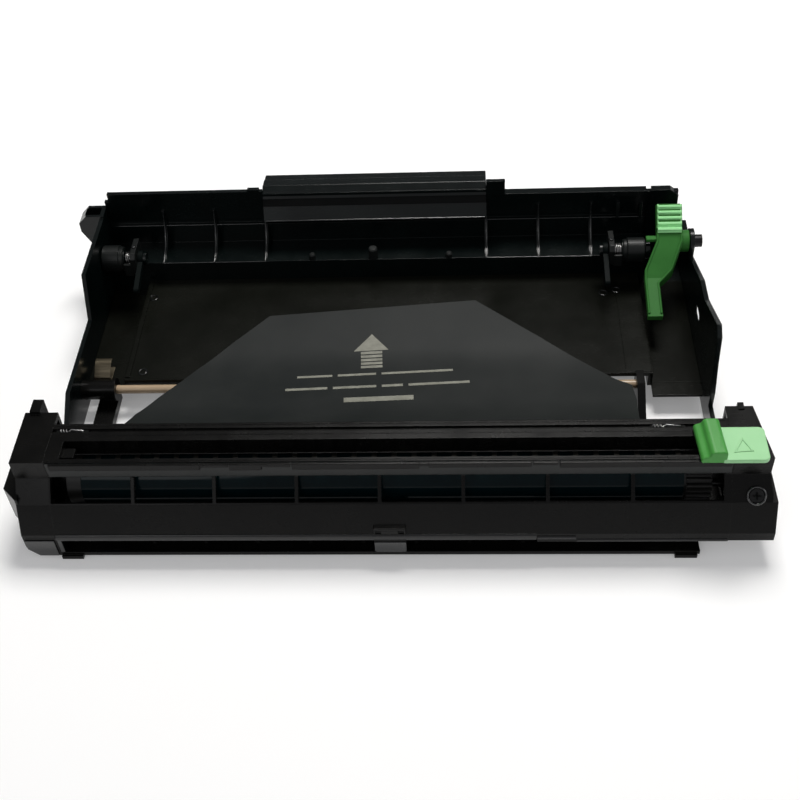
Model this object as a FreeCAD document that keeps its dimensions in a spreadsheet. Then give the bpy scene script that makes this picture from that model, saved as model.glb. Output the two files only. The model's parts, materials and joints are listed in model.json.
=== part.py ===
import FreeCAD, Part
import math
import os

import Sketcher

# A drum unit for a desktop page printer: a tray that takes a toner cartridge, and a front
# housing with the drum, its charging wire and the roller that draws the toner to the page.
# X runs along the drum, Y from the front face to the grip, Z up. The origin is the middle
# of the footprint, at the height of the feet's soles. Lengths are in millimetres.

SIZES = {
    # whole unit
    "front_edge": -97,
    "grip_back": 98,
    "sole_height": 1.4,
    "gap_fit": 0.3,
    "gap_bore": 0.05,
    "merge": 1,
    # tray floor
    "tray_front": -7,
    "tray_top": 15,
    "tray_sheet": 2,
    "gutter_top": 9,
    # side walls
    "side_thick": 2,
    "left_tall": 46,
    "left_low": 25.3,
    "left_drop": 30.7,
    "left_slope": 8.6,
    "nose_top_back": -25.5,
    "nose_foot_back": -44,
    "wall_foot": 13,
    "right_tail": 31,
    "right_shoulder": 41.3,
    "right_shoulder_back": 25.4,
    "right_dip_back": 12.5,
    "right_peak": 52,
    "right_peak_back": -15.2,
    "right_brow": 48.6,
    "right_brow_back": -19.7,
    "right_cheek": 35.2,
    "right_cheek_back": -21.9,
    "right_chin": 21,
    "right_chin_back": -25.7,
    "wall_slot_back": 20.5,
    "wall_slot_height": 25.5,
    "wall_slot_long": 9,
    "wall_slot_tall": 4.6,
    # rear wall
    "ledge_front": 62,
    "ledge_top": 26.2,
    "recess_back": 78,
    "shelf_height": 36.9,
    "shelf_step": 2,
    "rear_thick": 2,
    "rear_top": 55,
    "rear_low_top": 50.5,
    "rib_middle": -10,
    "rib_inner": 54.3,
    "rib_pitch": 25.3,
    "rib_count": 3,
    "rib_thick": 1.5,
    "rib_top": 45,
    "rib_hollow": 3.6,
    "short_rib_deep": 3.4,
    "short_rib_pitch": 11,
    "tab_width": 5.6,
    "tab_apart": 1.5,
    "tab_height": 56,
    "tab_right_width": 9,
    "tab_right_height": 58,
    "rear_flange": 2,
    "ear_right_width": 19,
    "ear_height": 51.3,
    "ear_apart": 4,
    # grip
    "grip_sheet": 2,
    "grip_lip_front": 74.1,
    "grip_lip_height": 41.6,
    "grip_brow": 81.5,
    "grip_brow_height": 53.4,
    "grip_top_front": 84,
    "grip_top": 55,
    "grip_back_height": 52.8,
    "grip_skirt_height": 39,
    "groove_wide": 1.6,
    "groove_deep": 1,
    # outer corner boxes
    "corner_width": 11,
    "corner_front": 73,
    "corner_height": 47,
    "corner_base": 30,
    "corner_bevel": 4,
    "corner_sheet": 1.6,
    "block_wide": 13,
    "block_tall": 12,
    # front trough
    "trough_back": -28,
    "trough_rim": 6,
    "trough_sheet": 1.6,
    "trough_right_front": -84,
    "nose_height": 3.4,
    "toe_width": 5,
    "toe_deep": 12,
    "toe_bevel": 5.6,
    "rail_width": 9,
    "rail_top": 5.4,
    "web_thick": 3.5,
    "web_top": 16.8,
    "web_crown": -15,
    "guide_count": 9,
    "guide_thick": 1.4,
    "guide_clear": 1.2,
    "foot_long": 9,
    "foot_deep": 5,
    "foot_ahead": 1,
    "rear_foot": 76,
    # drum and its drive
    "drum_back": -73,
    "drum_height": 24.5,
    "drum_radius": 12,
    "drum_wall": 0.8,
    "drum_left": -124,
    "drum_right": 120,
    "plug_long": 6,
    "flange_long": 6,
    "spindle_radius": 3,
    "gear_module": 0.8,
    "drum_teeth": 30,
    "roller_teeth": 15,
    "pressure_angle": 20,
    "tooth_thin": 0.1,
    "tooth_root": 1.25,
    "gear_width": 10,
    "gear_window": 2,
    "roller_tilt": 30,
    # transfer roller
    "roller_gap": 0.4,
    "core_radius": 2.5,
    "bearing_long": 5,
    "bearing_radius": 4.2,
    "bearing_tail": 4.4,
    "post_thick": 2.4,
    "post_flare": 4,
    "post_rise": 3.2,
    "coil_wire": 0.5,
    "coil_radius": 1.9,
    "coil_long": 2.1,
    "coil_turns": 2,
    # front cover
    "cover_sheet": 2,
    "face_foot": 15,
    "lip_foot": 12,
    "lip_right_foot": 10,
    "lip_step": 62,
    "face_top_back": -91.3,
    "face_top": 27.6,
    "slope_back": -83.6,
    "slope_top": 35.9,
    "deck_top": 45.4,
    "deck_back": -62.6,
    "deck_skirt": 38,
    "channel_back": -72,
    "channel_floor": 37.9,
    "channel_ledge": 1.4,
    "bridge_long": 4,
    "bridge_top": 39.6,
    "deck_groove": -67.2,
    "deck_groove_wide": 1.8,
    "deck_groove_deep": 1,
    "opening_count": 8,
    "opening_rib": 1.5,
    "opening_margin": 1.2,
    # end caps
    "cap_low_top": 31,
    "cap_low_front": -91,
    "cap_low_back": -66,
    "cap_corner": 6,
    "cap_back": -56,
    "cap_right_step": 2,
    "cap_skirt_foot": 10.5,
    "cap_taper_front": 1,
    "cap_taper_back": 5,
    "spindle_seat": 1.2,
    "cap_sheet": 2,
    "tower_wide": 4.4,
    "tower_deep": 6,
    "tower_height": 47,
    "fin_wide": 2.4,
    "fin_root": 2,
    "fin_deep": 1.5,
    "fin_height": 46,
    "boss_radius": 6,
    "screw_up": 2.8,
    "screw_head": 2.8,
    "screw_head_high": 1,
    # latch over the paper slot
    "latch_left": -4,
    "latch_right": 9,
    "latch_front": -98,
    "latch_top": 19,
    "latch_deep": 1.6,
    # charging wire
    "wire_back": -76.7,
    "wire_height": 42.5,
    "wire_radius": 0.15,
    "wire_held": 2.5,
    "anchor_long": 5,
    "anchor_deep": 5,
    "anchor_low": 40.2,
    "grid_sheet": 0.3,
    "grid_bar": 2.0,
    "grid_count": 30,
    "grid_margin": 1.6,
    # wire cleaner
    "slider_long": 24,
    "slider_front": -85.2,
    "slider_back": -67,
    "slider_sheet": 2.2,
    "slider_round": 3,
    "slider_lip": 2.4,
    "slider_lip_sheet": 1,
    "slider_slant": 2.4,
    "grip_block_long": 8,
    "grip_block_high": 4,
    "grip_block_inset": 1.4,
    "grip_slot": 1.6,
    "grip_slot_deep": 2.4,
    "neck_long": 5.4,
    "neck_front": -79.7,
    "neck_back": -73.7,
    "neck_base": 40.4,
    "neck_cheek": 0.8,
    "wire_clear": 0.7,
    # lock lever
    "pivot_back": 60.5,
    "pivot_height": 35.5,
    "lever_boss": 5.2,
    "lever_sheet": 3,
    "lever_pin": 2,
    "lever_pin_out": 4,
    "pin_head": 3,
    "ear_radius": 6,
    "grip_tip_back": 71.5,
    "grip_tip_height": 54.5,
    "grip_root_back": 60.5,
    "grip_root_height": 44.2,
    "knee_back": 41,
    "knee_height": 29.5,
    "toe_back": 20,
    "toe_height": 24.5,
    "ridge_count": 5,
    "ridge_high": 0.9,
    "side_arm_low": 42.6,
    "side_arm_high": 2,
    "side_arm_wide": 3,
    "lever_coil_radius": 2.75,
    "lever_coil_long": 5,
    "lever_coil_turns": 4,
    # press arms
    "press_back": 58.5,
    "press_height": 32.4,
    "press_boss": 4.6,
    "press_boss_end": 11,
    "press_lug_start": 15,
    "press_lug": 2.2,
    "press_arm_thick": 2.4,
    "press_arm_wide": 3,
    "press_head_long": 1.5,
    "press_pin": 2,
    "press_hub": 3.6,
    "press_tip_back": 40,
    "press_tip_height": 28,
    "lug_radius": 4.4,
    "lug_foot": 8,
    "press_coil_radius": 3.2,
    "press_coil_turns": 3,
    # feed shaft
    "feed_back": -11.3,
    "feed_height": 12.4,
    "feed_radius": 2,
    "feed_spigot": 3.2,
    "feed_bush": 4.6,
    "feed_collar": 5.2,
    "feed_collar_long": 1.6,
    # protective sheet
    "card_sheet": 0.4,
    "card_top_left": -60.4,
    "card_top_left_back": 33.8,
    "card_top_right": 38.5,
    "card_top_right_back": 43.1,
    "card_shoulder_back": -6.5,
    "card_side_back": -15.5,
    "card_left_back": -40,
    "card_flat_end": 2,
    "card_lift_back": -16,
    "card_lift": 17.4,
    "card_rise_back": -36,
    "card_rise": 21.5,
    "card_end_back": -66.5,
    "card_end": 35.6,
    # contact leaf
    "contact_wide": 8,
    "contact_front": -3,
    "contact_long": 10,
    "contact_high": 4.6,
    "contact_tip": 6.9,
    "contact_sheet": 0.6,
}

# Places at the right end, by their distance past the drum's right end.
RIGHT_END = {
    "tray_right": -2,
    "right_wall": 22,
    "rear_right_end": 1,
    "short_rib_first": -13,
    "block_left": 3,
    "nose_right": 8,
    "web_right": -10,
    "foot_right": -2,
    "gear_left": 1,
    "roller_right": -8,
    "bearing_right": -5.5,
    "cover_right": 18,
    "cap_right": 34,
    "fin_left": 23,
    "screw_x": 27.4,
    "anchor_right": 19,
    "grid_right": -1,
    "slider_left": 6,
    "neck_left": 8.8,
    "lever_boss_left": 14.7,
    "lever_pin_left": 6.6,
    "lever_left": 4,
    "lever_right": 16,
    "knee_left": -2,
    "knee_right": 11,
    "leg_left": -2.2,
    "leg_right": 4.6,
    "press_right": -0.6,
    "feed_right": -6.8,
    "card_right": -12.5,
    "card_shoulder": -25.7,
    "core_right": 13,
    "guide_last": -42,
    "opening_right": 13.7,
    "side_arm_left": -1,
}

# Places at the left end, by their distance past the drum's left end.
LEFT_END = {
    "tray_left": 0.2,
    "left_wall": 21,
    "rail_left": 13,
    "nose_left": 12,
    "foot_left": 12,
    "guide_first": -26,
    "roller_left": -6,
    "bearing_left": 5,
    "cover_left": 12,
    "channel_left": 6,
    "cap_left": 26,
    "cap_left_reach": 32,
    "tower_left": 23.6,
    "feed_bush_right": 3,
    "contact_left": 16,
    "card_left": -11,
    "grid_left": 2,
    "opening_first": 10.3,
    "core_left": 9,
}

doc = FreeCAD.newDocument("drum_unit")
sheet = doc.addObject("Spreadsheet::Sheet", "Sizes")
for row, (alias, amount) in enumerate({**SIZES, **RIGHT_END, **LEFT_END}.items(), start=1):
    sheet.set(f"A{row}", alias)
    sheet.set(f"B{row}", str(amount))
    sheet.setAlias(f"B{row}", alias)
doc.recompute()


class Size:
    """A length as the sheet gives it: its formula for the document, and its value now."""

    def __init__(self, text, value):
        self.text = text
        self.value = float(value)

    def __add__(self, other):
        other = sized(other)
        return Size(f"({self.text} + {other.text})", self.value + other.value)

    def __sub__(self, other):
        other = sized(other)
        return Size(f"({self.text} - {other.text})", self.value - other.value)

    def __mul__(self, other):
        other = sized(other)
        return Size(f"({self.text} * {other.text})", self.value * other.value)

    def __truediv__(self, other):
        other = sized(other)
        return Size(f"({self.text} / {other.text})", self.value / other.value)

    def __neg__(self):
        return Size(f"(0 - {self.text})", -self.value)


def sized(amount):
    """Any number as a Size."""
    return amount if isinstance(amount, Size) else Size(f"({amount!r})", amount)


class Sheet:
    """Reads a named size from the sheet, and counts the end places from the drum's ends."""

    def __getattr__(self, alias):
        size = Size("Sizes." + alias, sheet.get(alias))
        if alias in RIGHT_END:
            return self.drum_right + size
        if alias in LEFT_END:
            return self.drum_left - size
        return size


S = Sheet()


def root(size):
    return Size(f"sqrt({size.text})", math.sqrt(size.value))


def sine(angle):
    return Size(f"sin({angle.text} * 1deg)", math.sin(math.radians(angle.value)))


def cosine(angle):
    return Size(f"cos({angle.text} * 1deg)", math.cos(math.radians(angle.value)))


def offset_path(points, wall):
    """The path shifted to its right-hand side by the wall, corners kept sharp."""
    normals = []
    for (u0, v0), (u1, v1) in zip(points, points[1:]):
        long = root((u1 - u0) * (u1 - u0) + (v1 - v0) * (v1 - v0))
        normals.append(((v1 - v0) / long, (u0 - u1) / long))
    shifted = []
    for index, (u, v) in enumerate(points):
        before = normals[max(index - 1, 0)]
        after = normals[min(index, len(normals) - 1)]
        share = wall / (before[0] * after[0] + before[1] * after[1] + 1)
        shifted.append((u + share * (before[0] + after[0]), v + share * (before[1] + after[1])))
    return shifted


def strip(points, wall):
    """The closed outline of a bent sheet: the path and its offset by the wall."""
    return points + offset_path(points, wall)[::-1]


def box(u0, v0, u1, v1):
    return [(u0, v0), (u1, v0), (u1, v1), (u0, v1)]


class Arc:
    """Makes the stretch between its two neighbours an arc through this point."""

    def __init__(self, u, v):
        self.u = sized(u)
        self.v = sized(v)


class Round:
    """A circle as a loop of its own."""

    def __init__(self, u, v, radius):
        self.u = sized(u)
        self.v = sized(v)
        self.radius = sized(radius)


def vector(u, v):
    return FreeCAD.Vector(u.value, v.value, 0)


class Drawing:
    """Gathers a sketch's lines, arcs and ties, and adds them in two steps."""

    def __init__(self, sketch):
        self.sketch = sketch
        self.ties = []
        self.formulas = []

    def tie(self, constraint, size=None):
        if size is not None:
            self.formulas.append((len(self.ties), size))
        self.ties.append(constraint)

    def pin(self, element, position, u, v):
        """Ties a point of the sketch to two of the sheet's formulas."""
        self.tie(Sketcher.Constraint("DistanceX", -1, 1, element, position, u.value), u)
        self.tie(Sketcher.Constraint("DistanceY", -1, 1, element, position, v.value), v)

    def circle(self, loop):
        edge = Part.Circle(vector(loop.u, loop.v), FreeCAD.Vector(0, 0, 1), loop.radius.value)
        element = self.sketch.addGeometry(edge, False)
        self.pin(element, 3, loop.u, loop.v)
        self.tie(Sketcher.Constraint("Radius", element, loop.radius.value), loop.radius)

    def outline(self, loop):
        """Lines and arcs through the loop's points, each point tied to the sheet."""
        loop = [item if isinstance(item, Arc) else (sized(item[0]), sized(item[1])) for item in loop]
        corners = [item for item in loop if not isinstance(item, Arc)]
        throughs = [loop[index + 1 - len(loop)] for index, item in enumerate(loop)
                    if not isinstance(item, Arc)]
        edges = []
        for start, through, end in zip(corners, throughs, corners[1:] + corners[:1]):
            if isinstance(through, Arc):
                middle = vector(through.u, through.v)
                edges.append(Part.Arc(vector(*start), middle, vector(*end)))
            else:
                edges.append(Part.LineSegment(vector(*start), vector(*end)))
        first = self.sketch.addGeometry(edges, False)[0]
        ends = []
        for place, (start, through) in enumerate(zip(corners, throughs)):
            element = first + place
            ends.append(self.ends_of(element, start))
            if isinstance(through, Arc):
                point = self.sketch.addGeometry(Part.Point(vector(through.u, through.v)), True)
                self.tie(Sketcher.Constraint("PointOnObject", point, 1, element))
                self.pin(point, 1, through.u, through.v)
        for place, corner in enumerate(corners):
            follower = (place + 1) % len(corners)
            self.tie(Sketcher.Constraint("Coincident", first + place, ends[place][1],
                                         first + follower, ends[follower][0]))
            self.pin(first + place, ends[place][0], *corner)

    def ends_of(self, element, start):
        """Which ends of a drawn edge come first and last on the outline."""
        point = self.sketch.getPoint(element, 1)
        near = math.hypot(point.x - start[0].value, point.y - start[1].value) < 1e-6
        return (1, 2) if near else (2, 1)

    def finish(self):
        self.sketch.addConstraint(self.ties)
        for place, size in self.formulas:
            self.sketch.renameConstraint(place, f"size{place}")
            self.sketch.setExpression(f"Constraints.size{place}", size.text)


class Moulding:
    """A body that grows by pads and loses stock by pockets, each on an origin plane."""

    def __init__(self, label):
        self.body = doc.addObject("PartDesign::Body", label)
        self.body.Label = label
        self.count = 0

    def place(self, x, y, z, about_x=None):
        for axis, size in zip("xyz", (x, y, z)):
            self.body.setExpression("Placement.Base." + axis, sized(size).text)
        if about_x is not None:
            self.body.Placement.Rotation = FreeCAD.Rotation(FreeCAD.Vector(1, 0, 0), 0)
            self.body.setExpression("Placement.Rotation.Axis.x", "1")
            self.body.setExpression("Placement.Rotation.Axis.z", "0")
            self.body.setExpression("Placement.Rotation.Angle", f"{about_x.text} * 1deg")
        return self

    def sketch(self, plane, loops, at):
        self.count += 1
        sketch = self.body.newObject("Sketcher::SketchObject", f"{self.body.Name}_sketch{self.count}")
        for feature in self.body.Origin.OriginFeatures:
            if feature.Role == plane + "_Plane":
                sketch.AttachmentSupport = [(feature, "")]
        sketch.MapMode = "FlatFace"
        sketch.setExpression("AttachmentOffset.Base.z", sized(at).text)
        drawing = Drawing(sketch)
        for loop in loops:
            if isinstance(loop, Round):
                drawing.circle(loop)
            else:
                drawing.outline(loop)
        drawing.finish()
        return sketch

    def shape_by(self, kind, plane, loops, low, high):
        low = sized(low)
        high = sized(high)
        at = -high if plane == "XZ" else low
        sketch = self.sketch(plane, loops, at)
        feature = self.body.newObject(kind, f"{self.body.Name}_{kind[12:]}{self.count}")
        feature.Profile = sketch
        feature.Refine = False
        feature.setExpression("Length", (high - low).text)
        return feature

    def pad(self, plane, loops, low, high):
        self.shape_by("PartDesign::Pad", plane, loops, low, high)
        return self

    def pocket(self, plane, loops, low, high):
        feature = self.shape_by("PartDesign::Pocket", plane, loops, low, high)
        feature.Reversed = True
        return feature

    def repeat(self, feature, axis, pitch, count):
        """A row of copies of the last feature along an origin axis."""
        pattern = self.body.newObject("PartDesign::LinearPattern", f"{self.body.Name}_row{self.count}")
        pattern.Originals = [feature]
        for item in self.body.Origin.OriginFeatures:
            if item.Role == axis + "_Axis":
                pattern.Direction = (item, [""])
        pattern.setExpression("Occurrences", count.text)
        pattern.setExpression("Length", (pitch * (count - 1)).text)
        self.body.Tip = pattern
        return self

    def turn(self, profile):
        """A turned piece about the body's X axis: the profile gives (x, radius) points."""
        sketch = self.sketch("XY", [profile], 0)
        feature = self.body.newObject("PartDesign::Revolution", f"{self.body.Name}_turned{self.count}")
        feature.Profile = sketch
        feature.ReferenceAxis = (sketch, ["H_Axis"])
        feature.Angle = 360
        return self

def path_normal_angle(u, v):
    """The tilt, in degrees, of a slope that goes u along and v up."""
    return Size(f"(atan({(v / u).text}) / 1deg)", math.degrees(math.atan((v / u).value)))


def turned(label, profile, y, z):
    """A piece turned about an axis along X."""
    piece = Moulding(label)
    piece.turn(profile)
    piece.place(0, y, z)
    return piece


def tube(x0, x1, inner, outer):
    return [(x0, inner), (x1, inner), (x1, outer), (x0, outer)]


def rod(x0, x1, radius):
    return [(x0, 0), (x1, 0), (x1, radius), (x0, radius)]


def shaped(label, shape, x, y, z, rotation=FreeCAD.Rotation()):
    """A piece whose shape is worked out from the sheet's sizes, then put in its place."""
    feature = doc.addObject("Part::Feature", label)
    feature.Label = label
    feature.Shape = shape
    feature.Placement = FreeCAD.Placement(FreeCAD.Vector(x.value, y.value, z.value), rotation)


# A spring's wire is drawn with straight stretches and flat sides.
COIL_STEPS = 10
WIRE_SIDES = 5
# Slots in the top of the wire cleaner's grip.
GRIP_SLOTS = 2

# Places that several pieces share.
LEFT_INSIDE = S.left_wall + S.side_thick
RIGHT_INSIDE = S.right_wall - S.side_thick
FLOOR_LOW = S.tray_top - S.tray_sheet
GUTTER_LOW = S.gutter_top - S.tray_sheet
LEDGE_LOW = S.ledge_top - S.rear_thick
REAR_PANEL = S.recess_back + S.shelf_step
REAR_BACK = REAR_PANEL + S.rear_thick
GRIP_LEFT = S.rib_middle - S.rib_inner
GRIP_RIGHT = S.rib_middle + S.rib_inner
CENTRE_DISTANCE = S.gear_module * (S.drum_teeth + S.roller_teeth) / 2
ROLLER_BACK = S.drum_back + CENTRE_DISTANCE * sine(S.roller_tilt)
ROLLER_HEIGHT = S.drum_height - CENTRE_DISTANCE * cosine(S.roller_tilt)
ROLLER_RADIUS = CENTRE_DISTANCE - S.drum_radius - S.roller_gap
TROUGH_TOP = S.sole_height + S.trough_sheet
WALL_FRONT = S.front_edge + S.cover_sheet
SPINDLE_BORE = S.spindle_radius + S.gap_bore
BOSS_LEFT = S.drum_left - S.flange_long - S.gap_fit
BOSS_RIGHT = S.gear_left + S.gear_width + S.gap_fit
CAP_LEFT_WALL = S.cap_left + S.cap_sheet
CAP_RIGHT_WALL = S.cap_right - S.cap_taper_back - S.cap_sheet
SPINDLE_LEFT = CAP_LEFT_WALL - S.spindle_seat
SPINDLE_RIGHT = CAP_RIGHT_WALL + S.spindle_seat
CHANNEL_FRONT = S.slope_back + S.cover_sheet
FACE_LEAN = (S.face_top_back - S.front_edge) / (S.face_top - S.face_foot)
CAP_OUTLINE = [
    (S.front_edge, S.wall_foot), (S.front_edge, S.face_foot), (S.face_top_back, S.face_top),
    (S.slope_back, S.slope_top), (S.slope_back, S.deck_top),
]


def make_floor():
    """The tray's floor: a raised middle between two gutters."""
    floor = Moulding("main_frame")
    floor.pad("XZ", [[
        (LEFT_INSIDE, GUTTER_LOW), (S.tray_left + S.tray_sheet, GUTTER_LOW),
        (S.tray_left + S.tray_sheet, FLOOR_LOW), (S.tray_right - S.tray_sheet, FLOOR_LOW),
        (S.tray_right - S.tray_sheet, GUTTER_LOW), (RIGHT_INSIDE, GUTTER_LOW),
        (RIGHT_INSIDE, S.gutter_top), (S.tray_right, S.gutter_top),
        (S.tray_right, S.tray_top), (S.tray_left, S.tray_top),
        (S.tray_left, S.gutter_top), (LEFT_INSIDE, S.gutter_top),
    ]], S.tray_front, S.ledge_front)


def make_left_wall():
    """The left side wall, with the open box outside its rear corner."""
    wall = Moulding("left_side_wall")
    wall.pad("YZ", [[
        (WALL_FRONT, S.sole_height), (REAR_BACK, S.sole_height), (REAR_BACK, S.left_tall),
        (S.left_drop, S.left_tall), (S.left_drop - S.left_slope, S.left_low),
        (S.nose_top_back, S.left_low), (S.nose_foot_back, S.wall_foot), (WALL_FRONT, S.wall_foot),
    ]], S.left_wall, LEFT_INSIDE)
    outer = S.left_wall - S.corner_width
    wall.pad("XZ", [[
        (LEFT_INSIDE, S.corner_base), (outer + S.corner_bevel, S.corner_base),
        (outer, S.corner_base + S.corner_bevel * 2), (outer, S.corner_height - S.corner_bevel),
        (outer + S.corner_bevel, S.corner_height), (LEFT_INSIDE, S.corner_height),
    ]], S.corner_front, REAR_BACK)
    wall.pocket("XY", [box(outer + S.corner_sheet * 2, S.corner_front + S.corner_sheet,
                           S.left_wall, REAR_BACK - S.corner_sheet)],
                S.corner_base + S.corner_sheet * 3, S.corner_height)
    wall.pocket("YZ", [Round(S.feed_back, S.feed_height, S.feed_spigot),
                       Round(S.press_back, S.press_height, S.press_pin + S.gap_bore)],
                S.left_wall, LEFT_INSIDE)


def make_right_wall():
    """The right side wall, with the ear round the lever's pivot and the slot for a side stop."""
    wall = Moulding("right_side_wall")
    wall.pad("YZ", [[
        (S.trough_right_front, S.sole_height), (REAR_BACK, S.sole_height), (REAR_BACK, S.right_tail),
        (S.pivot_back + S.ear_radius, S.right_tail),
        (S.pivot_back + S.ear_radius, S.pivot_height),
        Arc(S.pivot_back, S.pivot_height + S.ear_radius),
        (S.pivot_back - S.ear_radius, S.pivot_height),
        (S.pivot_back - S.ear_radius, S.right_tail),
        (S.right_shoulder_back, S.right_shoulder), (S.right_dip_back, S.right_shoulder),
        (S.right_peak_back, S.right_peak), (S.right_brow_back, S.right_brow),
        (S.right_cheek_back, S.right_cheek), (S.right_chin_back, S.right_chin),
        (S.right_chin_back, S.wall_foot), (S.trough_right_front, S.wall_foot),
    ]], RIGHT_INSIDE, S.right_wall)
    half_long = S.wall_slot_long / 2
    half_tall = S.wall_slot_tall / 2
    straight = half_long - half_tall
    wall.pocket("YZ", [
        Round(S.pivot_back, S.pivot_height, S.lever_pin + S.gap_bore),
        [
            (S.wall_slot_back - straight, S.wall_slot_height - half_tall),
            (S.wall_slot_back + straight, S.wall_slot_height - half_tall),
            Arc(S.wall_slot_back + half_long, S.wall_slot_height),
            (S.wall_slot_back + straight, S.wall_slot_height + half_tall),
            (S.wall_slot_back - straight, S.wall_slot_height + half_tall),
            Arc(S.wall_slot_back - half_long, S.wall_slot_height),
        ],
    ], RIGHT_INSIDE, S.right_wall)


def make_rear_wall():
    """Ledge, shelf and panel, with ribs that cradle the cartridge's round back."""
    wall = Moulding("rear_wall")
    block_right = S.block_left + S.block_wide
    wall.pad("YZ", [[
        (S.ledge_front, GUTTER_LOW), (S.ledge_front, S.ledge_top),
        (S.recess_back, S.ledge_top), (S.recess_back, S.shelf_height),
        (REAR_PANEL, S.shelf_height), (REAR_PANEL, S.rear_low_top),
        (REAR_BACK, S.rear_low_top), (REAR_BACK, S.sole_height),
        (REAR_PANEL, S.sole_height), (REAR_PANEL, LEDGE_LOW),
        (S.ledge_front + S.rear_thick, LEDGE_LOW), (S.ledge_front + S.rear_thick, GUTTER_LOW),
    ]], LEFT_INSIDE, S.rear_right_end)
    panel_foot = S.rear_low_top - S.rear_thick
    wall.pad("YZ", [box(REAR_PANEL, panel_foot, REAR_BACK, S.rear_top)],
             LEFT_INSIDE + S.side_thick, GRIP_LEFT)
    wall.pad("YZ", [box(REAR_PANEL, S.sole_height, REAR_BACK, S.rear_low_top)],
             S.rear_right_end - S.merge, block_right)
    wall.pad("YZ", [box(REAR_PANEL, S.sole_height, REAR_BACK, S.right_tail)],
             block_right - S.merge, RIGHT_INSIDE)
    wall.pad("YZ", [box(REAR_PANEL, panel_foot, REAR_BACK + S.rear_flange, S.rear_low_top)],
             GRIP_RIGHT, S.rear_right_end)
    wall.pad("XY", [box(S.rear_right_end - S.side_thick, S.ledge_front, RIGHT_INSIDE, REAR_BACK)],
             GUTTER_LOW, S.gutter_top)
    last = S.rib_inner + S.rib_pitch * (S.rib_count - 1)
    for first in (S.rib_middle - last, GRIP_RIGHT):
        rib = wall.shape_by("PartDesign::Pad", "YZ", [rib_outline()],
                            first - S.rib_thick / 2, first + S.rib_thick / 2)
        wall.repeat(rib, "X", S.rib_pitch, S.rib_count)
    for left in (S.short_rib_first, S.short_rib_first + S.short_rib_pitch):
        wall.pad("YZ", [[
            (REAR_PANEL - S.short_rib_deep, S.shelf_height), (REAR_PANEL + S.merge, S.shelf_height),
            (REAR_PANEL + S.merge, S.rib_top), (REAR_PANEL - S.merge, S.rib_top),
        ]], left, left + S.rib_thick)
    make_grip(wall)
    make_tabs(wall)
    make_lugs(wall)
    low = S.rear_low_top - S.block_tall
    wall.pad("XZ", [[
        (S.block_left, low), (block_right - S.corner_bevel, low), (block_right, low + S.corner_bevel),
        (block_right, S.rear_low_top - S.corner_sheet),
        (block_right - S.corner_bevel, S.rear_low_top + S.corner_sheet),
        (S.block_left, S.rear_low_top + S.corner_sheet),
    ]], REAR_PANEL - S.corner_sheet, REAR_BACK)
    for left in (S.foot_left, S.foot_right):
        wall.pad("XY", [box(left, S.rear_foot, left + S.foot_long, REAR_BACK)], 0, LEDGE_LOW)


def rib_outline():
    back = REAR_PANEL + S.merge
    low = S.ledge_top - S.merge
    return [
        (S.ledge_front, low), (back, low), (back, S.rib_top), (REAR_PANEL - S.merge, S.rib_top),
        Arc((S.ledge_front + REAR_PANEL) / 2 + S.rib_hollow,
            (S.ledge_top + S.rib_top) / 2 - S.rib_hollow),
        (S.ledge_front, S.ledge_top),
    ]


def make_grip(wall):
    """The hooded grip: a brow over the tray, a flat top and a skirt behind."""
    turn_in = S.grip_sheet / 2
    path = [
        (S.grip_lip_front, S.grip_lip_height), (S.grip_brow, S.grip_brow_height),
        (S.grip_top_front, S.grip_top), (S.grip_back - S.grip_sheet, S.grip_back_height),
        (S.grip_back, S.grip_back_height - S.grip_sheet), (S.grip_back, S.grip_skirt_height),
    ]
    wall.pad("YZ", [strip(path, S.grip_sheet)], GRIP_LEFT, GRIP_RIGHT)
    wall.pad("YZ", [box(REAR_PANEL, S.rear_low_top - S.rear_thick, REAR_BACK, S.grip_brow_height)],
             GRIP_LEFT, GRIP_RIGHT)
    for low in (GRIP_LEFT, GRIP_RIGHT - S.grip_sheet):
        wall.pad("YZ", [[
            (REAR_BACK - turn_in, S.grip_skirt_height), (S.grip_back - turn_in, S.grip_skirt_height),
            (S.grip_back - turn_in, S.grip_back_height - S.grip_sheet),
            (REAR_BACK - turn_in, S.grip_brow_height - turn_in),
        ]], low, low + S.grip_sheet)
    wall.pocket("YZ", [box(S.grip_top_front, S.grip_top - S.groove_deep - S.groove_wide / 2,
                           S.grip_top_front + S.groove_wide, S.grip_top + S.merge)],
                GRIP_LEFT, GRIP_RIGHT)


def make_tabs(wall):
    """Locating tabs beside the grip, and the plate over the right end."""
    foot = S.rear_low_top - S.rear_thick
    tab_left = GRIP_LEFT - S.tab_width - S.tab_apart
    wall.pad("YZ", [box(REAR_PANEL, foot, REAR_BACK, S.tab_height)], tab_left, tab_left + S.tab_width)
    wall.pad("YZ", [box(REAR_PANEL, foot, REAR_BACK, S.tab_right_height)],
             GRIP_RIGHT, GRIP_RIGHT + S.tab_right_width)
    ear_right = S.rear_right_end - S.ear_apart
    wall.pad("YZ", [box(REAR_PANEL - S.merge, foot, REAR_BACK, S.ear_height)],
             ear_right - S.ear_right_width, ear_right)


def make_lugs(wall):
    """Lugs on the rear ledge that carry the press arms' pins."""
    foot_back = S.ledge_front + S.lug_foot
    foot_low = S.ledge_top - S.merge
    for left in (LEFT_INSIDE + S.press_lug_start, S.press_right - S.press_lug_start - S.press_lug,
                 S.press_right):
        wall.pad("YZ", [[
            (S.press_back, S.press_height - S.lug_radius), (S.ledge_front + S.merge, foot_low),
            (foot_back, foot_low), (foot_back, S.ledge_top + S.merge),
            (S.press_back, S.press_height + S.lug_radius),
            Arc(S.press_back - S.lug_radius, S.press_height),
        ]], left, left + S.press_lug)
        wall.pocket("YZ", [Round(S.press_back, S.press_height, S.press_pin + S.gap_bore)],
                    left, left + S.press_lug)


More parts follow.
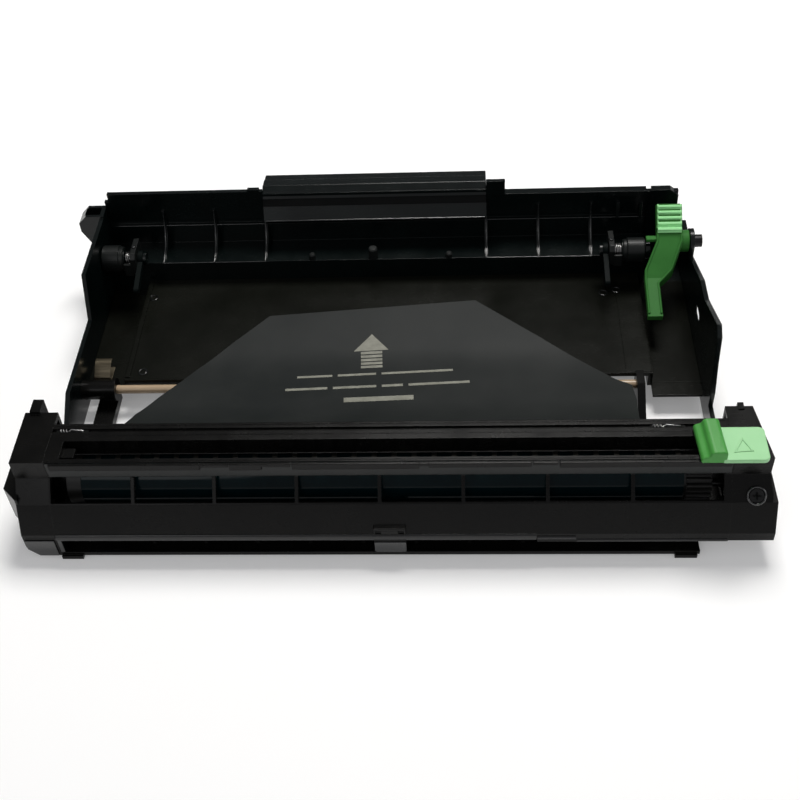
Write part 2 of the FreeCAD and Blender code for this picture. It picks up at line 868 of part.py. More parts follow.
def make_trough():
    """The bottom plate under the drum, its guide ribs, bearing posts, rails and feet."""
    trough = Moulding("front_trough")
    bottom = S.sole_height
    rim_front = S.trough_back - S.tray_sheet
    trough.pad("YZ", [[
        (S.trough_right_front, bottom), (S.trough_back, bottom), (S.trough_back, S.trough_rim),
        (rim_front, S.trough_rim), (rim_front - S.tray_sheet, TROUGH_TOP),
        (S.trough_right_front, TROUGH_TOP),
    ]], LEFT_INSIDE, RIGHT_INSIDE)
    trough.pad("YZ", [[
        (S.front_edge, bottom), (S.trough_right_front, bottom), (S.trough_right_front, TROUGH_TOP),
        (S.front_edge + S.merge * 2, TROUGH_TOP), (S.front_edge + S.merge, S.nose_height),
        (S.front_edge, S.nose_height),
    ]], S.nose_left, S.nose_right)
    toe_left = S.left_wall - S.toe_width
    toe = [(toe_left, bottom + S.toe_bevel), (toe_left, S.wall_foot)]
    trough.pad("XZ", [[(S.nose_left, bottom), (toe_left + S.toe_bevel, bottom)] + toe
                      + [(S.nose_left, S.wall_foot)]], S.front_edge, WALL_FRONT)
    trough.pad("XZ", [[(S.left_wall, bottom + S.toe_bevel - S.toe_width)] + toe
                      + [(S.left_wall, S.wall_foot)]], WALL_FRONT - S.merge, S.front_edge + S.toe_deep)
    trough.pad("XZ", [box(S.nose_right, bottom, S.right_wall, S.wall_foot)],
               S.trough_right_front - S.tray_sheet, S.trough_right_front)
    rail_right = S.rail_left + S.rail_width
    trough.pad("XY", [box(S.rail_left, S.trough_back - S.merge, rail_right, S.tray_front + S.merge)],
               bottom, S.rail_top)
    trough.pad("XY", [box(S.rail_left, S.tray_front, rail_right, S.tray_front + S.merge)],
               S.rail_top, GUTTER_LOW)
    make_web(trough)
    make_guides(trough)
    make_posts(trough)
    for left in (S.foot_left, S.foot_right):
        trough.pad("XY", [box(left, S.front_edge - S.foot_ahead, left + S.foot_long,
                              S.front_edge + S.foot_deep)], 0, bottom + S.merge / 2)
    gear_room = S.gear_module * (S.roller_teeth / 2 + 1) + S.gear_window
    trough.pocket("XY", [box(S.gear_left - S.gap_fit, ROLLER_BACK - gear_room,
                             S.gear_left + S.gear_width + S.gap_fit, ROLLER_BACK + gear_room)],
                  bottom, TROUGH_TOP)


def make_web(trough):
    """The upright web that ties the trough to the tray and carries the feed shaft."""
    trough.pad("YZ", [[
        (S.trough_back - S.merge, S.sole_height), (S.tray_front + S.merge, S.sole_height),
        (S.tray_front + S.merge, FLOOR_LOW), (S.tray_front, FLOOR_LOW),
        (S.tray_front, S.web_top), (S.web_crown, S.web_top), (S.trough_back - S.merge, S.trough_rim),
    ]], S.web_right, S.web_right + S.web_thick)
    trough.pocket("YZ", [Round(S.feed_back, S.feed_height, S.feed_radius + S.gap_bore)],
                  S.web_right, S.web_right + S.web_thick)


def make_guides(trough):
    """Ribs that lift the paper over the trough to the nip and out at the front."""
    clear = ROLLER_RADIUS + S.guide_clear
    low = TROUGH_TOP - S.trough_sheet / 2
    rim = S.trough_back - S.tray_sheet / 2
    front_end = S.front_edge + S.foot_deep
    pitch = (S.guide_last - S.guide_first) / (S.guide_count - 1)
    for outline in (
        [(ROLLER_BACK + clear, low), (rim, low), (rim, S.trough_rim),
         (ROLLER_BACK + clear, ROLLER_HEIGHT + S.merge)],
        [(front_end, low), (ROLLER_BACK - clear - S.guide_clear, low),
         (ROLLER_BACK - clear - S.guide_clear, ROLLER_HEIGHT - S.guide_clear),
         (front_end, S.nose_height)],
    ):
        guide = trough.shape_by("PartDesign::Pad", "YZ", [outline], S.guide_first,
                                S.guide_first + S.guide_thick)
        trough.repeat(guide, "X", pitch, S.guide_count)


def make_posts(trough):
    """Two slotted posts that hold the roller's bearings and guide them towards the drum."""
    cheek = S.bearing_radius + S.gap_bore
    low = TROUGH_TOP - S.trough_sheet / 2
    for left in (S.bearing_left, S.bearing_right):
        trough.pad("YZ", [[
            (ROLLER_BACK - cheek - S.post_thick - S.post_flare, low),
            (ROLLER_BACK + cheek + S.post_thick + S.post_flare, low),
            (ROLLER_BACK + cheek + S.post_thick, ROLLER_HEIGHT + S.post_rise),
            (ROLLER_BACK + cheek, ROLLER_HEIGHT + S.post_rise),
            (ROLLER_BACK - cheek, ROLLER_HEIGHT - S.post_rise / 2),
            (ROLLER_BACK - cheek - S.post_thick, ROLLER_HEIGHT - S.post_rise),
        ]], left, left + S.bearing_long)
        trough.pocket("YZ", [[
            slot_point(-cheek, -S.drum_radius), slot_point(-cheek, S.bearing_tail + S.coil_long),
            slot_point(cheek, S.bearing_tail + S.coil_long), slot_point(cheek, -S.drum_radius),
        ]], left, left + S.bearing_long)


def slot_point(across, along):
    """A point by its place along the line of centres, measured from the roller's axis."""
    away_y = sine(S.roller_tilt)
    away_z = -cosine(S.roller_tilt)
    return (ROLLER_BACK + away_y * along - away_z * across,
            ROLLER_HEIGHT + away_z * along + away_y * across)


def skin_inside(wall, foot):
    """The inner line of the front skin, from a level foot up to the deck."""
    inner = offset_path(CAP_OUTLINE[1:], wall)
    return [(inner[1][0] - (inner[1][1] - foot) * FACE_LEAN, foot)] + inner[1:]


def make_cover():
    """The front cover: a stepped skin over the drum, with the charging channel on top."""
    cover = Moulding("top_cover")
    inside = skin_inside(S.cover_sheet, S.face_foot)
    for foot, left, right in ((S.lip_foot, S.cover_left, S.lip_step),
                              (S.lip_right_foot, S.lip_step, S.cover_right)):
        lip = [(inside[0][0], foot), (S.front_edge, foot)]
        cover.pad("YZ", [lip + CAP_OUTLINE[1:] + inside[::-1]], left, right)
    channel_wall = S.channel_back + S.cover_sheet
    skirt_front = S.deck_back - S.cover_sheet
    deck_low = S.deck_top - S.cover_sheet
    cover.pad("YZ", [[
        (S.channel_back, S.channel_floor), (channel_wall, S.channel_floor), (channel_wall, deck_low),
        (skirt_front, deck_low), (skirt_front, S.deck_skirt), (S.deck_back, S.deck_skirt),
        (S.deck_back, S.deck_top), (S.channel_back, S.deck_top),
    ]], S.cover_left, S.cover_right)
    cover.pad("YZ", [box(CHANNEL_FRONT - S.merge, S.channel_floor,
                         CHANNEL_FRONT + S.channel_ledge, S.channel_floor + S.merge)],
              S.cover_left, S.cover_right)
    cover.pad("YZ", [box(CHANNEL_FRONT - S.merge, S.channel_floor, channel_wall, S.deck_top)],
              S.cover_left, S.channel_left)
    cover.pad("YZ", [box(CHANNEL_FRONT - S.merge, S.channel_floor, channel_wall, S.bridge_top)],
              S.cover_right - S.bridge_long, S.cover_right)
    cover.pocket("YZ", [box(S.deck_groove, S.deck_top - S.deck_groove_deep,
                            S.deck_groove + S.deck_groove_wide, S.deck_top)],
                 S.cover_left, S.slider_left)
    pitch = (S.opening_right - S.opening_first) / S.opening_count
    opening = cover.pocket("XY", [box(
        S.opening_first, S.face_top_back + S.opening_margin,
        S.opening_first + pitch - S.opening_rib, S.slope_back - S.opening_margin,
    )], S.face_foot + S.merge, S.slope_top + S.merge)
    cover.repeat(opening, "X", pitch, S.opening_count)


def make_cap(label, joint, outer, wall, boss_end):
    """An end cap: the cover's section, hollow as far as its wall, with a boss for the spindle."""
    cap = Moulding(label)
    cap.pad("YZ", [CAP_OUTLINE + [(S.cap_back, S.deck_top), (S.cap_back, S.wall_foot)]],
            *in_order(joint, outer))
    floor = S.wall_foot + S.cap_sheet
    roof = S.deck_top - S.cap_sheet
    hollow = skin_inside(S.cap_sheet, floor)[:-1] + [
        (S.slope_back + S.cap_sheet, roof), (S.cap_back - S.cap_sheet, roof),
        (S.cap_back - S.cap_sheet, floor)]
    cap.pocket("YZ", [hollow], *in_order(joint, wall))
    cap.pad("YZ", [Round(S.drum_back, S.drum_height, S.boss_radius)], *in_order(wall, boss_end))
    return cap


def in_order(first, second):
    return (first, second) if first.value < second.value else (second, first)


def bore_cap(cap, low, high):
    cap.pocket("YZ", [Round(S.drum_back, S.drum_height, S.spindle_radius)], low, high)


def make_left_cap():
    cap = make_cap("left_end_cap", S.cover_left, S.cap_left, CAP_LEFT_WALL, BOSS_LEFT)
    cap.pad("XY", [[
        (S.cap_left + S.merge, S.cap_low_front), (S.cap_left + S.merge, S.cap_low_back),
        (S.cap_left_reach, S.cap_low_back), (S.cap_left_reach, S.cap_low_front + S.cap_corner),
        (S.cap_left_reach + S.cap_corner, S.cap_low_front),
    ]], S.wall_foot, S.cap_low_top)
    cap.pad("XY", [box(S.tower_left, S.cap_back - S.merge,
                       S.tower_left + S.tower_wide, S.cap_back + S.tower_deep)],
            S.wall_foot, S.tower_height)
    bore_cap(cap, SPINDLE_LEFT, BOSS_LEFT)


def make_right_cap():
    cap = make_cap("right_end_cap", S.cover_right, S.cap_right, CAP_RIGHT_WALL, BOSS_RIGHT)
    reach = S.cap_right + S.cap_right_step
    cap.pad("YZ", [[
        (S.front_edge, S.wall_foot), (S.front_edge, S.face_foot), (S.face_top_back, S.face_top),
        (S.cap_back, S.face_top), (S.cap_back, S.wall_foot),
    ]], S.cap_right - S.merge, reach)
    cap.pad("YZ", [box(S.front_edge, S.cap_skirt_foot, S.front_edge + S.cap_sheet, S.face_foot)],
            S.cover_right, reach)
    cap.pad("XY", [box(S.fin_left, S.cap_back - S.fin_root, S.fin_left + S.fin_wide,
                       S.cap_back + S.fin_deep)],
            S.cap_low_top, S.fin_height)
    taper = (S.cap_taper_back - S.cap_taper_front) / (S.cap_back - S.slope_back)
    cap.pocket("XY", [[
        (S.cap_right - S.cap_taper_back, S.cap_back),
        (S.cap_right - S.cap_taper_front + taper * (S.slope_back - S.face_top_back), S.face_top_back),
        (reach, S.face_top_back), (reach, S.cap_back),
    ]], S.cap_low_top, S.deck_top)
    bore_cap(cap, BOSS_RIGHT, SPINDLE_RIGHT)


def slope_screw_place():
    """The screw's foot on the slope, and the slope's tilt."""
    slope_u = S.slope_back - S.face_top_back
    slope_v = S.slope_top - S.face_top
    up = S.screw_up / root(slope_u * slope_u + slope_v * slope_v)
    foot = (S.face_top_back + slope_u * up, S.face_top + slope_v * up)
    return foot, path_normal_angle(slope_u, slope_v)


def make_screw():
    """The screw that ties the right cap down, square to the slope."""
    foot, tilt = slope_screw_place()
    screw = Moulding("cap_screw")
    screw.pad("XY", [Round(0, 0, S.screw_head)], 0, S.screw_head_high)
    screw.place(S.screw_x, foot[0], foot[1], tilt)


def make_latch():
    """The small latch that ties the cover to the trough across the paper slot."""
    latch = Moulding("front_latch")
    top_back = S.front_edge + FACE_LEAN * (S.latch_top - S.face_foot)
    inner = S.front_edge + S.latch_deep
    latch.pad("YZ", [[
        (S.latch_front, S.nose_height), (inner, S.nose_height), (inner, S.lip_foot),
        (S.front_edge, S.lip_foot), (S.front_edge, S.face_foot), (top_back, S.latch_top),
        (top_back + S.latch_front - S.front_edge, S.latch_top), (S.latch_front, S.face_foot),
    ]], S.latch_left, S.latch_right)


def gear_outline(teeth):
    """The points of a gear's outline, its flanks drawn as involutes of the pressure angle."""
    module = S.gear_module.value
    pressure = math.radians(S.pressure_angle.value)
    pitch_radius = module * teeth / 2
    base = pitch_radius * math.cos(pressure)
    tip = pitch_radius + module
    foot = pitch_radius - S.tooth_root.value * module
    half_thick = math.pi * module / 4 - S.tooth_thin.value / 2
    spread = half_thick / pitch_radius + math.tan(pressure) - pressure

    def flank(radius):
        unwound = math.acos(min(1, base / radius))
        return spread - (math.tan(unwound) - unwound)

    start = max(base, foot)
    radii = [start, (start + tip) / 2, tip]
    side = [(radius, flank(radius)) for radius in radii]
    rise = [(foot, side[0][1])] if foot < start else []
    points = []
    for number in range(teeth):
        middle = 2 * math.pi * number / teeth
        for radius, half in rise + side:
            points.append((radius, middle - half))
        for radius, half in (rise + side)[::-1]:
            points.append((radius, middle + half))
    return points


def make_gear(label, teeth, turn, bore, y, z):
    """A spur gear along X; the turn puts a tooth or a gap on the line of centres."""
    outline = [FreeCAD.Vector(0, radius * math.cos(angle + turn), radius * math.sin(angle + turn))
               for radius, angle in gear_outline(teeth)]
    face = Part.Face(Part.makePolygon(outline + outline[:1]))
    wide = FreeCAD.Vector(S.gear_width.value, 0, 0)
    shape = face.extrude(wide)
    axis = FreeCAD.Vector(1, 0, 0)
    if label == "drum_gear":
        start = S.drum_right.value - S.plug_long.value - S.gear_left.value
        plug = Part.makeCylinder(S.drum_radius.value - S.drum_wall.value, -start,
                                 FreeCAD.Vector(start, 0, 0), axis)
        shape = shape.fuse(plug)
        long = S.gear_width.value - start
    else:
        start = 0
        long = S.gear_width.value
    shape = shape.cut(Part.makeCylinder(bore.value, long, FreeCAD.Vector(start, 0, 0), axis))
    shaped(label, shape, S.gear_left, y, z)


def ring_point(radius, place, steps):
    """A point of a ring about X, by its place among the ring's steps."""
    angle = 2 * math.pi * place / steps
    return FreeCAD.Vector(0, radius * math.cos(angle), radius * math.sin(angle))


def make_coil(label, axis_x, length, radius, turns, y, z, lean=None):
    """A wound spring along X from axis_x, or leaned over to the roller's line of centres."""
    wire = S.coil_wire.value / 2
    count = int(turns.value) * COIL_STEPS
    pitch = length.value / count
    points = [ring_point(radius.value, place, COIL_STEPS) + FreeCAD.Vector(pitch * place, 0, 0)
              for place in range(count + 1)]
    section = Part.makePolygon([ring_point(wire, side, WIRE_SIDES) for side in range(WIRE_SIDES + 1)])
    heading = FreeCAD.Rotation(FreeCAD.Vector(1, 0, 0), points[1] - points[0])
    section.Placement = FreeCAD.Placement(points[0], heading)
    shape = Part.makePolygon(points).makePipeShell([section], True, False, 1)
    rotation = FreeCAD.Rotation()
    if lean is not None:
        towards = FreeCAD.Vector(0, sine(lean).value, -cosine(lean).value)
        rotation = FreeCAD.Rotation(FreeCAD.Vector(1, 0, 0), towards)
    shaped(label, shape, axis_x, y, z, rotation)


def make_drum():
    y, z = S.drum_back, S.drum_height
    inner = S.drum_radius - S.drum_wall
    turned("opc_drum", tube(S.drum_left, S.drum_right, inner, S.drum_radius), y, z)
    flange_left = S.drum_left - S.flange_long
    turned("drum_end_flange", [
        (flange_left, SPINDLE_BORE), (S.drum_left + S.plug_long, SPINDLE_BORE),
        (S.drum_left + S.plug_long, inner), (S.drum_left, inner), (S.drum_left, S.drum_radius),
        (flange_left, S.drum_radius),
    ], y, z)
    turned("drum_spindle", rod(SPINDLE_LEFT, SPINDLE_RIGHT, S.spindle_radius), y, z)
    towards = math.atan2((ROLLER_HEIGHT - z).value, (ROLLER_BACK - y).value)
    teeth = int(S.drum_teeth.value)
    make_gear("drum_gear", teeth, towards, SPINDLE_BORE, y, z)
    half_tooth = math.pi / int(S.roller_teeth.value)
    make_gear("transfer_gear", int(S.roller_teeth.value), towards + math.pi + half_tooth,
              S.core_radius, ROLLER_BACK, ROLLER_HEIGHT)


def make_roller():
    y, z = ROLLER_BACK, ROLLER_HEIGHT
    turned("transfer_roller", tube(S.roller_left, S.roller_right, S.core_radius, ROLLER_RADIUS), y, z)
    turned("transfer_shaft", rod(S.core_left, S.core_right, S.core_radius), y, z)
    for side, left in (("left", S.bearing_left), ("right", S.bearing_right)):
        bearing = Moulding("roller_bearing_" + side)
        bearing.pad("YZ", [[
            (-S.bearing_radius, 0), (-S.bearing_radius, -S.bearing_tail),
            (S.bearing_radius, -S.bearing_tail), (S.bearing_radius, 0), Arc(0, S.bearing_radius),
        ]], 0, S.bearing_long)
        bearing.pocket("YZ", [Round(0, 0, S.core_radius + S.gap_bore)], 0, S.bearing_long)
        bearing.place(left, y, z, S.roller_tilt)
        tail = S.bearing_tail + S.coil_wire / 2
        make_coil("bearing_spring_" + side, left + S.bearing_long / 2, S.coil_long - S.coil_wire,
                  S.coil_radius, S.coil_turns, y + sine(S.roller_tilt) * tail,
                  z - cosine(S.roller_tilt) * tail, S.roller_tilt)


def make_charger():
    """The charging wire in its two anchors, over the slotted screen plate."""
    turned("corona_wire", rod(S.channel_left + S.wire_held, S.anchor_right + S.wire_held, S.wire_radius),
           S.wire_back, S.wire_height)
    roof = S.deck_top - S.cap_sheet
    half = S.anchor_deep / 2
    for side, left, hole in (("left", S.channel_left, S.channel_left + S.wire_held),
                             ("right", S.anchor_right, S.anchor_right)):
        anchor = Moulding("wire_anchor_" + side)
        anchor.pad("YZ", [box(S.wire_back - half, S.anchor_low, S.wire_back + half, roof)],
                   left, left + S.anchor_long)
        anchor.pocket("YZ", [Round(S.wire_back, S.wire_height, S.wire_radius)], hole,
                      hole + S.wire_held)
    grid = Moulding("screen_plate")
    front = CHANNEL_FRONT + S.gap_bore
    back = S.channel_back + S.cover_sheet
    grid.pad("XY", [box(S.grid_left, front, S.grid_right, back)],
             S.channel_floor - S.grid_sheet, S.channel_floor)
    first = S.grid_left + S.grid_bar
    pitch = (S.grid_right - first) / S.grid_count
    slot = grid.pocket("XY", [box(first, front + S.grid_margin, first + pitch - S.grid_bar,
                                  S.channel_back - S.grid_margin / 2)],
                       S.channel_floor - S.grid_sheet, S.channel_floor)
    grid.repeat(slot, "X", pitch, S.grid_count)


def make_cleaner():
    """The green slider that wipes the wire: a plate with a grip, a neck and a pad."""
    slider = Moulding("wire_cleaner")
    low = S.deck_top + S.gap_fit
    top = low + S.slider_sheet
    right = S.slider_left + S.slider_long
    neck_right = S.neck_left + S.neck_long
    slant = S.slider_slant / (S.slider_back - S.slider_front)
    slider.pad("XY", [[
        (S.slider_left, S.slider_front), (right - S.slider_round, S.slider_front),
        (right, S.slider_front + S.slider_round), (right, S.slider_back - S.slider_round),
        (right - S.slider_round, S.slider_back), (S.slider_left - S.slider_slant, S.slider_back),
    ]], low, top)
    slider.pad("XY", [box(S.slider_left, S.slider_front, right - S.slider_round,
                          S.slider_front + S.slider_lip_sheet)],
               top - S.slider_lip - S.slider_sheet, top)
    block_front = S.slider_front + S.grip_block_inset
    block_back = S.slider_back - S.grip_block_inset
    slider.pad("XY", [[
        (S.slider_left - slant * S.grip_block_inset, block_front),
        (S.slider_left + S.grip_block_long, block_front),
        (S.slider_left + S.grip_block_long, block_back),
        (S.slider_left - slant * (block_back - S.slider_front), block_back),
    ]], top, top + S.grip_block_high)
    slider.pad("XY", [box(S.neck_left, S.neck_front, neck_right, S.neck_back)],
               S.neck_base, top)
    slot_gap = (S.grip_block_long - S.grip_slot * GRIP_SLOTS) / (GRIP_SLOTS + 1)
    for number in range(GRIP_SLOTS):
        left = S.slider_left + slot_gap + (slot_gap + S.grip_slot) * number
        slider.pocket("XY", [box(left, block_front + S.grip_block_inset,
                                 left + S.grip_slot, block_back - S.grip_block_inset)],
                      top + S.grip_block_high - S.grip_slot_deep, top + S.grip_block_high)
    slider.pocket("YZ", [box(S.neck_front, S.neck_base, S.neck_back, low)],
                  S.neck_left + S.neck_cheek, neck_right - S.neck_cheek)
    slider.pocket("YZ", [box(S.wire_back - S.wire_clear, S.neck_base,
                             S.wire_back + S.wire_clear, S.wire_height + S.wire_clear)],
                  S.neck_left, neck_right)
    pad = Moulding("cleaner_pad")
    pad.pad("YZ", [box(S.neck_front, S.neck_base, S.neck_back, low),
                   Round(S.wire_back, S.wire_height, S.wire_clear)],
            S.neck_left + S.neck_cheek, neck_right - S.neck_cheek)


def make_lever():
    """The lock lever: a ribbed grip, a bent arm and a leg, all on one pivot boss."""
    lever = Moulding("lock_lever")
    path = [(S.toe_back, S.toe_height), (S.knee_back, S.knee_height),
            (S.grip_root_back, S.grip_root_height), (S.grip_tip_back, S.grip_tip_height)]
    lever.pad("YZ", [strip(path, S.lever_sheet)], S.leg_left, S.lever_right)
    wide = S.knee_right - S.knee_left
    lever.pocket("XY", [
        box(S.leg_left - wide, S.toe_back - wide, S.lever_right + wide, S.grip_tip_back + wide),
        [
            (S.leg_left, S.toe_back), (S.leg_right, S.toe_back), (S.leg_right, S.knee_back - S.lever_sheet),
            (S.knee_right, S.knee_back + S.lever_sheet), (S.lever_right, S.grip_root_back - S.lever_boss),
            (S.lever_right, S.grip_tip_back + S.lever_boss), (S.lever_left, S.grip_tip_back + S.lever_boss),
            (S.lever_left, S.grip_root_back - S.lever_boss), (S.knee_left, S.knee_back + S.lever_sheet),
        ],
    ], 0, S.tab_right_height)
    lever.pad("YZ", [box(S.grip_root_back - S.side_arm_wide / 2, S.side_arm_low,
                         S.grip_root_back + S.side_arm_wide / 2, S.side_arm_low + S.side_arm_high)],
              S.side_arm_left, S.lever_left + S.lever_sheet)
    boss_right = RIGHT_INSIDE - S.gap_fit
    lever.pad("YZ", [Round(S.pivot_back, S.pivot_height, S.lever_boss)],
              S.lever_boss_left - S.lever_sheet, boss_right)
    lever.pocket("YZ", [Round(S.pivot_back, S.pivot_height, S.lever_pin)],
                 S.lever_boss_left - S.lever_sheet, boss_right)
    along_u = (S.grip_tip_back - S.grip_root_back) / (S.ridge_count + 1)
    along_v = (S.grip_tip_height - S.grip_root_height) / (S.ridge_count + 1)
    for number in range(1, int(S.ridge_count.value) + 1):
        u = S.grip_root_back + along_u * number
        v = S.grip_root_height + along_v * number
        lever.pad("YZ", [[
            (u - along_u / 4 + S.ridge_high / 2, v - along_v / 4 - S.ridge_high / 2),
            (u + along_u / 4 + S.ridge_high / 2, v + along_v / 4 - S.ridge_high / 2),
            (u + along_u / 4 - S.ridge_high, v + along_v / 4 + S.ridge_high),
            (u - along_u / 4 - S.ridge_high, v - along_v / 4 + S.ridge_high),
        ]], S.lever_left + S.merge, S.lever_right - S.merge)
    pin_right = S.right_wall + S.lever_pin_out
    head = S.right_wall + S.gap_fit
    turned("lever_pin", [
        (S.lever_pin_left, 0), (pin_right, 0), (pin_right, S.pin_head), (head, S.pin_head),
        (head, S.lever_pin), (S.lever_pin_left, S.lever_pin),
    ], S.pivot_back, S.pivot_height)
    coil_right = S.lever_boss_left - S.lever_sheet - S.coil_wire / 2
    make_coil("lever_spring", coil_right - S.lever_coil_long + S.coil_wire,
              S.lever_coil_long - S.coil_wire, S.lever_coil_radius, S.lever_coil_turns,
              S.pivot_back, S.pivot_height)


def make_press(side, wall, inward):
    """A sprung arm that holds the cartridge down, keyed to a pin between two lugs."""
    def at(depth):
        return wall + depth * inward

    def span(first, second):
        return (at(first), at(second)) if inward > 0 else (at(second), at(first))

    arm_start = S.press_lug_start + S.press_lug + S.gap_fit
    arm_end = arm_start + S.press_arm_thick
    head_end = arm_end + S.press_head_long
    profile = [
        (at(-S.press_lug), 0), (at(-S.press_lug), S.press_pin), (at(S.gap_fit), S.press_pin),
        (at(S.gap_fit), S.press_boss), (at(S.press_boss_end), S.press_boss),
        (at(S.press_boss_end), S.press_pin), (at(arm_end), S.press_pin), (at(arm_end), S.pin_head),
        (at(head_end), S.pin_head), (at(head_end), 0),
    ]
    turned("press_pin_" + side, profile, S.press_back, S.press_height)
    arm = Moulding("press_arm_" + side)
    half = S.press_arm_wide / 2
    arm.pad("YZ", [Round(S.press_back, S.press_height, S.press_hub)], *span(arm_start, arm_end))
    arm.pad("YZ", [[
        (S.press_back, S.press_height - half), (S.press_back, S.press_height + half),
        (S.press_tip_back, S.press_tip_height + half), Arc(S.press_tip_back - half, S.press_tip_height),
        (S.press_tip_back, S.press_tip_height - half),
    ]], *span(arm_start, arm_end))
    arm.pocket("YZ", [Round(S.press_back, S.press_height, S.press_pin)], *span(arm_start, arm_end))
    coil_low, coil_high = span(S.press_boss_end + S.coil_wire / 2, S.press_lug_start - S.coil_wire / 2)
    make_coil("press_spring_" + side, coil_low, coil_high - coil_low, S.press_coil_radius,
              S.press_coil_turns, S.press_back, S.press_height)


def make_feed():
    """The brown feed shaft in its left bush."""
    left = S.left_wall
    turned("feed_shaft", rod(left, S.feed_right, S.feed_radius), S.feed_back, S.feed_height)
    bore = S.feed_radius + S.gap_bore
    collar_left = S.feed_bush_right - S.feed_collar_long
    turned("feed_bush", [
        (left, bore), (S.feed_bush_right, bore), (S.feed_bush_right, S.feed_collar),
        (collar_left, S.feed_collar), (collar_left, S.feed_bush), (LEFT_INSIDE, S.feed_bush),
        (LEFT_INSIDE, S.feed_spigot), (left, S.feed_spigot),
    ], S.feed_back, S.feed_height)


def make_card():
    """The loose sheet that keeps light off the drum: flat on the tray, then up over the drum."""
    card = Moulding("protective_sheet")
    back = S.card_top_right_back + S.merge
    path = [(back, S.tray_top), (S.card_flat_end, S.tray_top), (S.card_lift_back, S.card_lift),
            (S.card_rise_back, S.card_rise), (S.card_end_back, S.card_end)]
    card.pad("YZ", [strip(path, S.card_sheet)], S.card_left, S.card_right)
    beyond = S.card_end_back - S.foot_long
    card.pocket("XY", [
        box(S.card_left - S.foot_long, beyond - S.foot_long, S.card_right + S.foot_long,
            back + S.foot_long),
        [
            (S.card_left, beyond), (S.card_right, beyond), (S.card_right, S.card_side_back),
            (S.card_shoulder, S.card_shoulder_back), (S.card_top_right, S.card_top_right_back),
            (S.card_top_left, S.card_top_left_back), (S.card_left, S.card_left_back),
        ],
    ], 0, S.tab_right_height)


def make_contact():
    """A bent contact leaf in the gutter beside the tray."""
    leaf = Moulding("contact_leaf")
    low = S.gutter_top
    back = S.contact_front + S.contact_long
    leaf.pad("YZ", [strip([
        (back, low), (S.contact_front + S.contact_sheet, low),
        (S.contact_front, low + S.contact_high),
        (S.contact_front + S.contact_long / 2, low + S.contact_tip),
    ], S.contact_sheet)], S.contact_left, S.contact_left + S.contact_wide)


make_floor()
make_left_wall()
make_right_wall()
make_rear_wall()
make_trough()
make_cover()
make_left_cap()
make_right_cap()
make_screw()
make_latch()
make_drum()
make_roller()
make_charger()
make_cleaner()
make_lever()
make_press("left", LEFT_INSIDE, 1)
make_press("right", S.press_right, -1)
make_feed()
make_card()
make_contact()

for item in doc.Objects:
    if item.TypeId == "PartDesign::Body":
        item.Tip.Refine = True
doc.recompute()
broken = [item.Name for item in doc.Objects if "Invalid" in item.State or "Error" in item.State]
if broken:
    raise RuntimeError("failed: " + ", ".join(broken))
for item in doc.Objects:
    if item.TypeId == "PartDesign::Pocket" and item.Shape.Volume >= item.BaseFeature.Shape.Volume:
        raise RuntimeError(item.Name + " cuts nothing")
pieces = [item for item in doc.Objects if item.TypeId in ("PartDesign::Body", "Part::Feature")]
for piece in pieces:
    if piece.Shape.isNull() or not piece.Shape.isValid():
        raise RuntimeError(piece.Label + " has no sound shape")
os.makedirs("parts", exist_ok=True)
for piece in pieces:
    piece.Shape.exportStep(f"parts/{piece.Label}.step")
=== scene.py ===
import json
import math

import bmesh
import bpy
from mathutils import Matrix, Vector


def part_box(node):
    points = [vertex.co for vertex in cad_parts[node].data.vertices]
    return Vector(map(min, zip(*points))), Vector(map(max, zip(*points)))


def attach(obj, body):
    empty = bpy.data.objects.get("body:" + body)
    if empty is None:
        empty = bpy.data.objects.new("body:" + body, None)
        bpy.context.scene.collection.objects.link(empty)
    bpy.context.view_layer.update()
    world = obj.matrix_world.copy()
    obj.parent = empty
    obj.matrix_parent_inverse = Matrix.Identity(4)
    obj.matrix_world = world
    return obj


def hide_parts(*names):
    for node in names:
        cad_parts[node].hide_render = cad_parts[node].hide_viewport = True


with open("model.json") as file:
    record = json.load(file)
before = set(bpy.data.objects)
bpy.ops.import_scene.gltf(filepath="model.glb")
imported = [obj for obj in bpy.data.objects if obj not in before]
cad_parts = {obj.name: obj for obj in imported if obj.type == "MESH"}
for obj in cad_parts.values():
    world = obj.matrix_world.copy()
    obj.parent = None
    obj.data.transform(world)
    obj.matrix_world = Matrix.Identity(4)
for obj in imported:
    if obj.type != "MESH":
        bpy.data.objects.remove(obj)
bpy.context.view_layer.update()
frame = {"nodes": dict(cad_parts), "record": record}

MM = 0.001
NODES = frame["nodes"]


# Materials

BEVEL_SAMPLES = 4
GRAIN_DEPTH = 0.0002
SCUFF_SIZE = 300
SCUFF_STRETCH = (1, 6, 6)
STREAK_DEPTH = 0.0001
STREAK_STRENGTH = 0.08


def new_material(name):
    """A node material, with its tree and its surface shader."""
    material = bpy.data.materials.new(name)
    material.use_nodes = True
    tree = material.node_tree
    shader = next(node for node in tree.nodes if node.type == "BSDF_PRINCIPLED")
    return material, tree, shader


def ramp(tree, source, stops):
    """A colour ramp on a socket; each stop is a place and a colour."""
    node = tree.nodes.new("ShaderNodeValToRGB")
    for element, (place, colour) in zip(node.color_ramp.elements, stops):
        element.position = place
        element.color = (*colour, 1)
    tree.links.new(source, node.inputs["Fac"])
    return node.outputs["Color"]


def grey(value):
    """A colour without hue."""
    return (value, value, value)


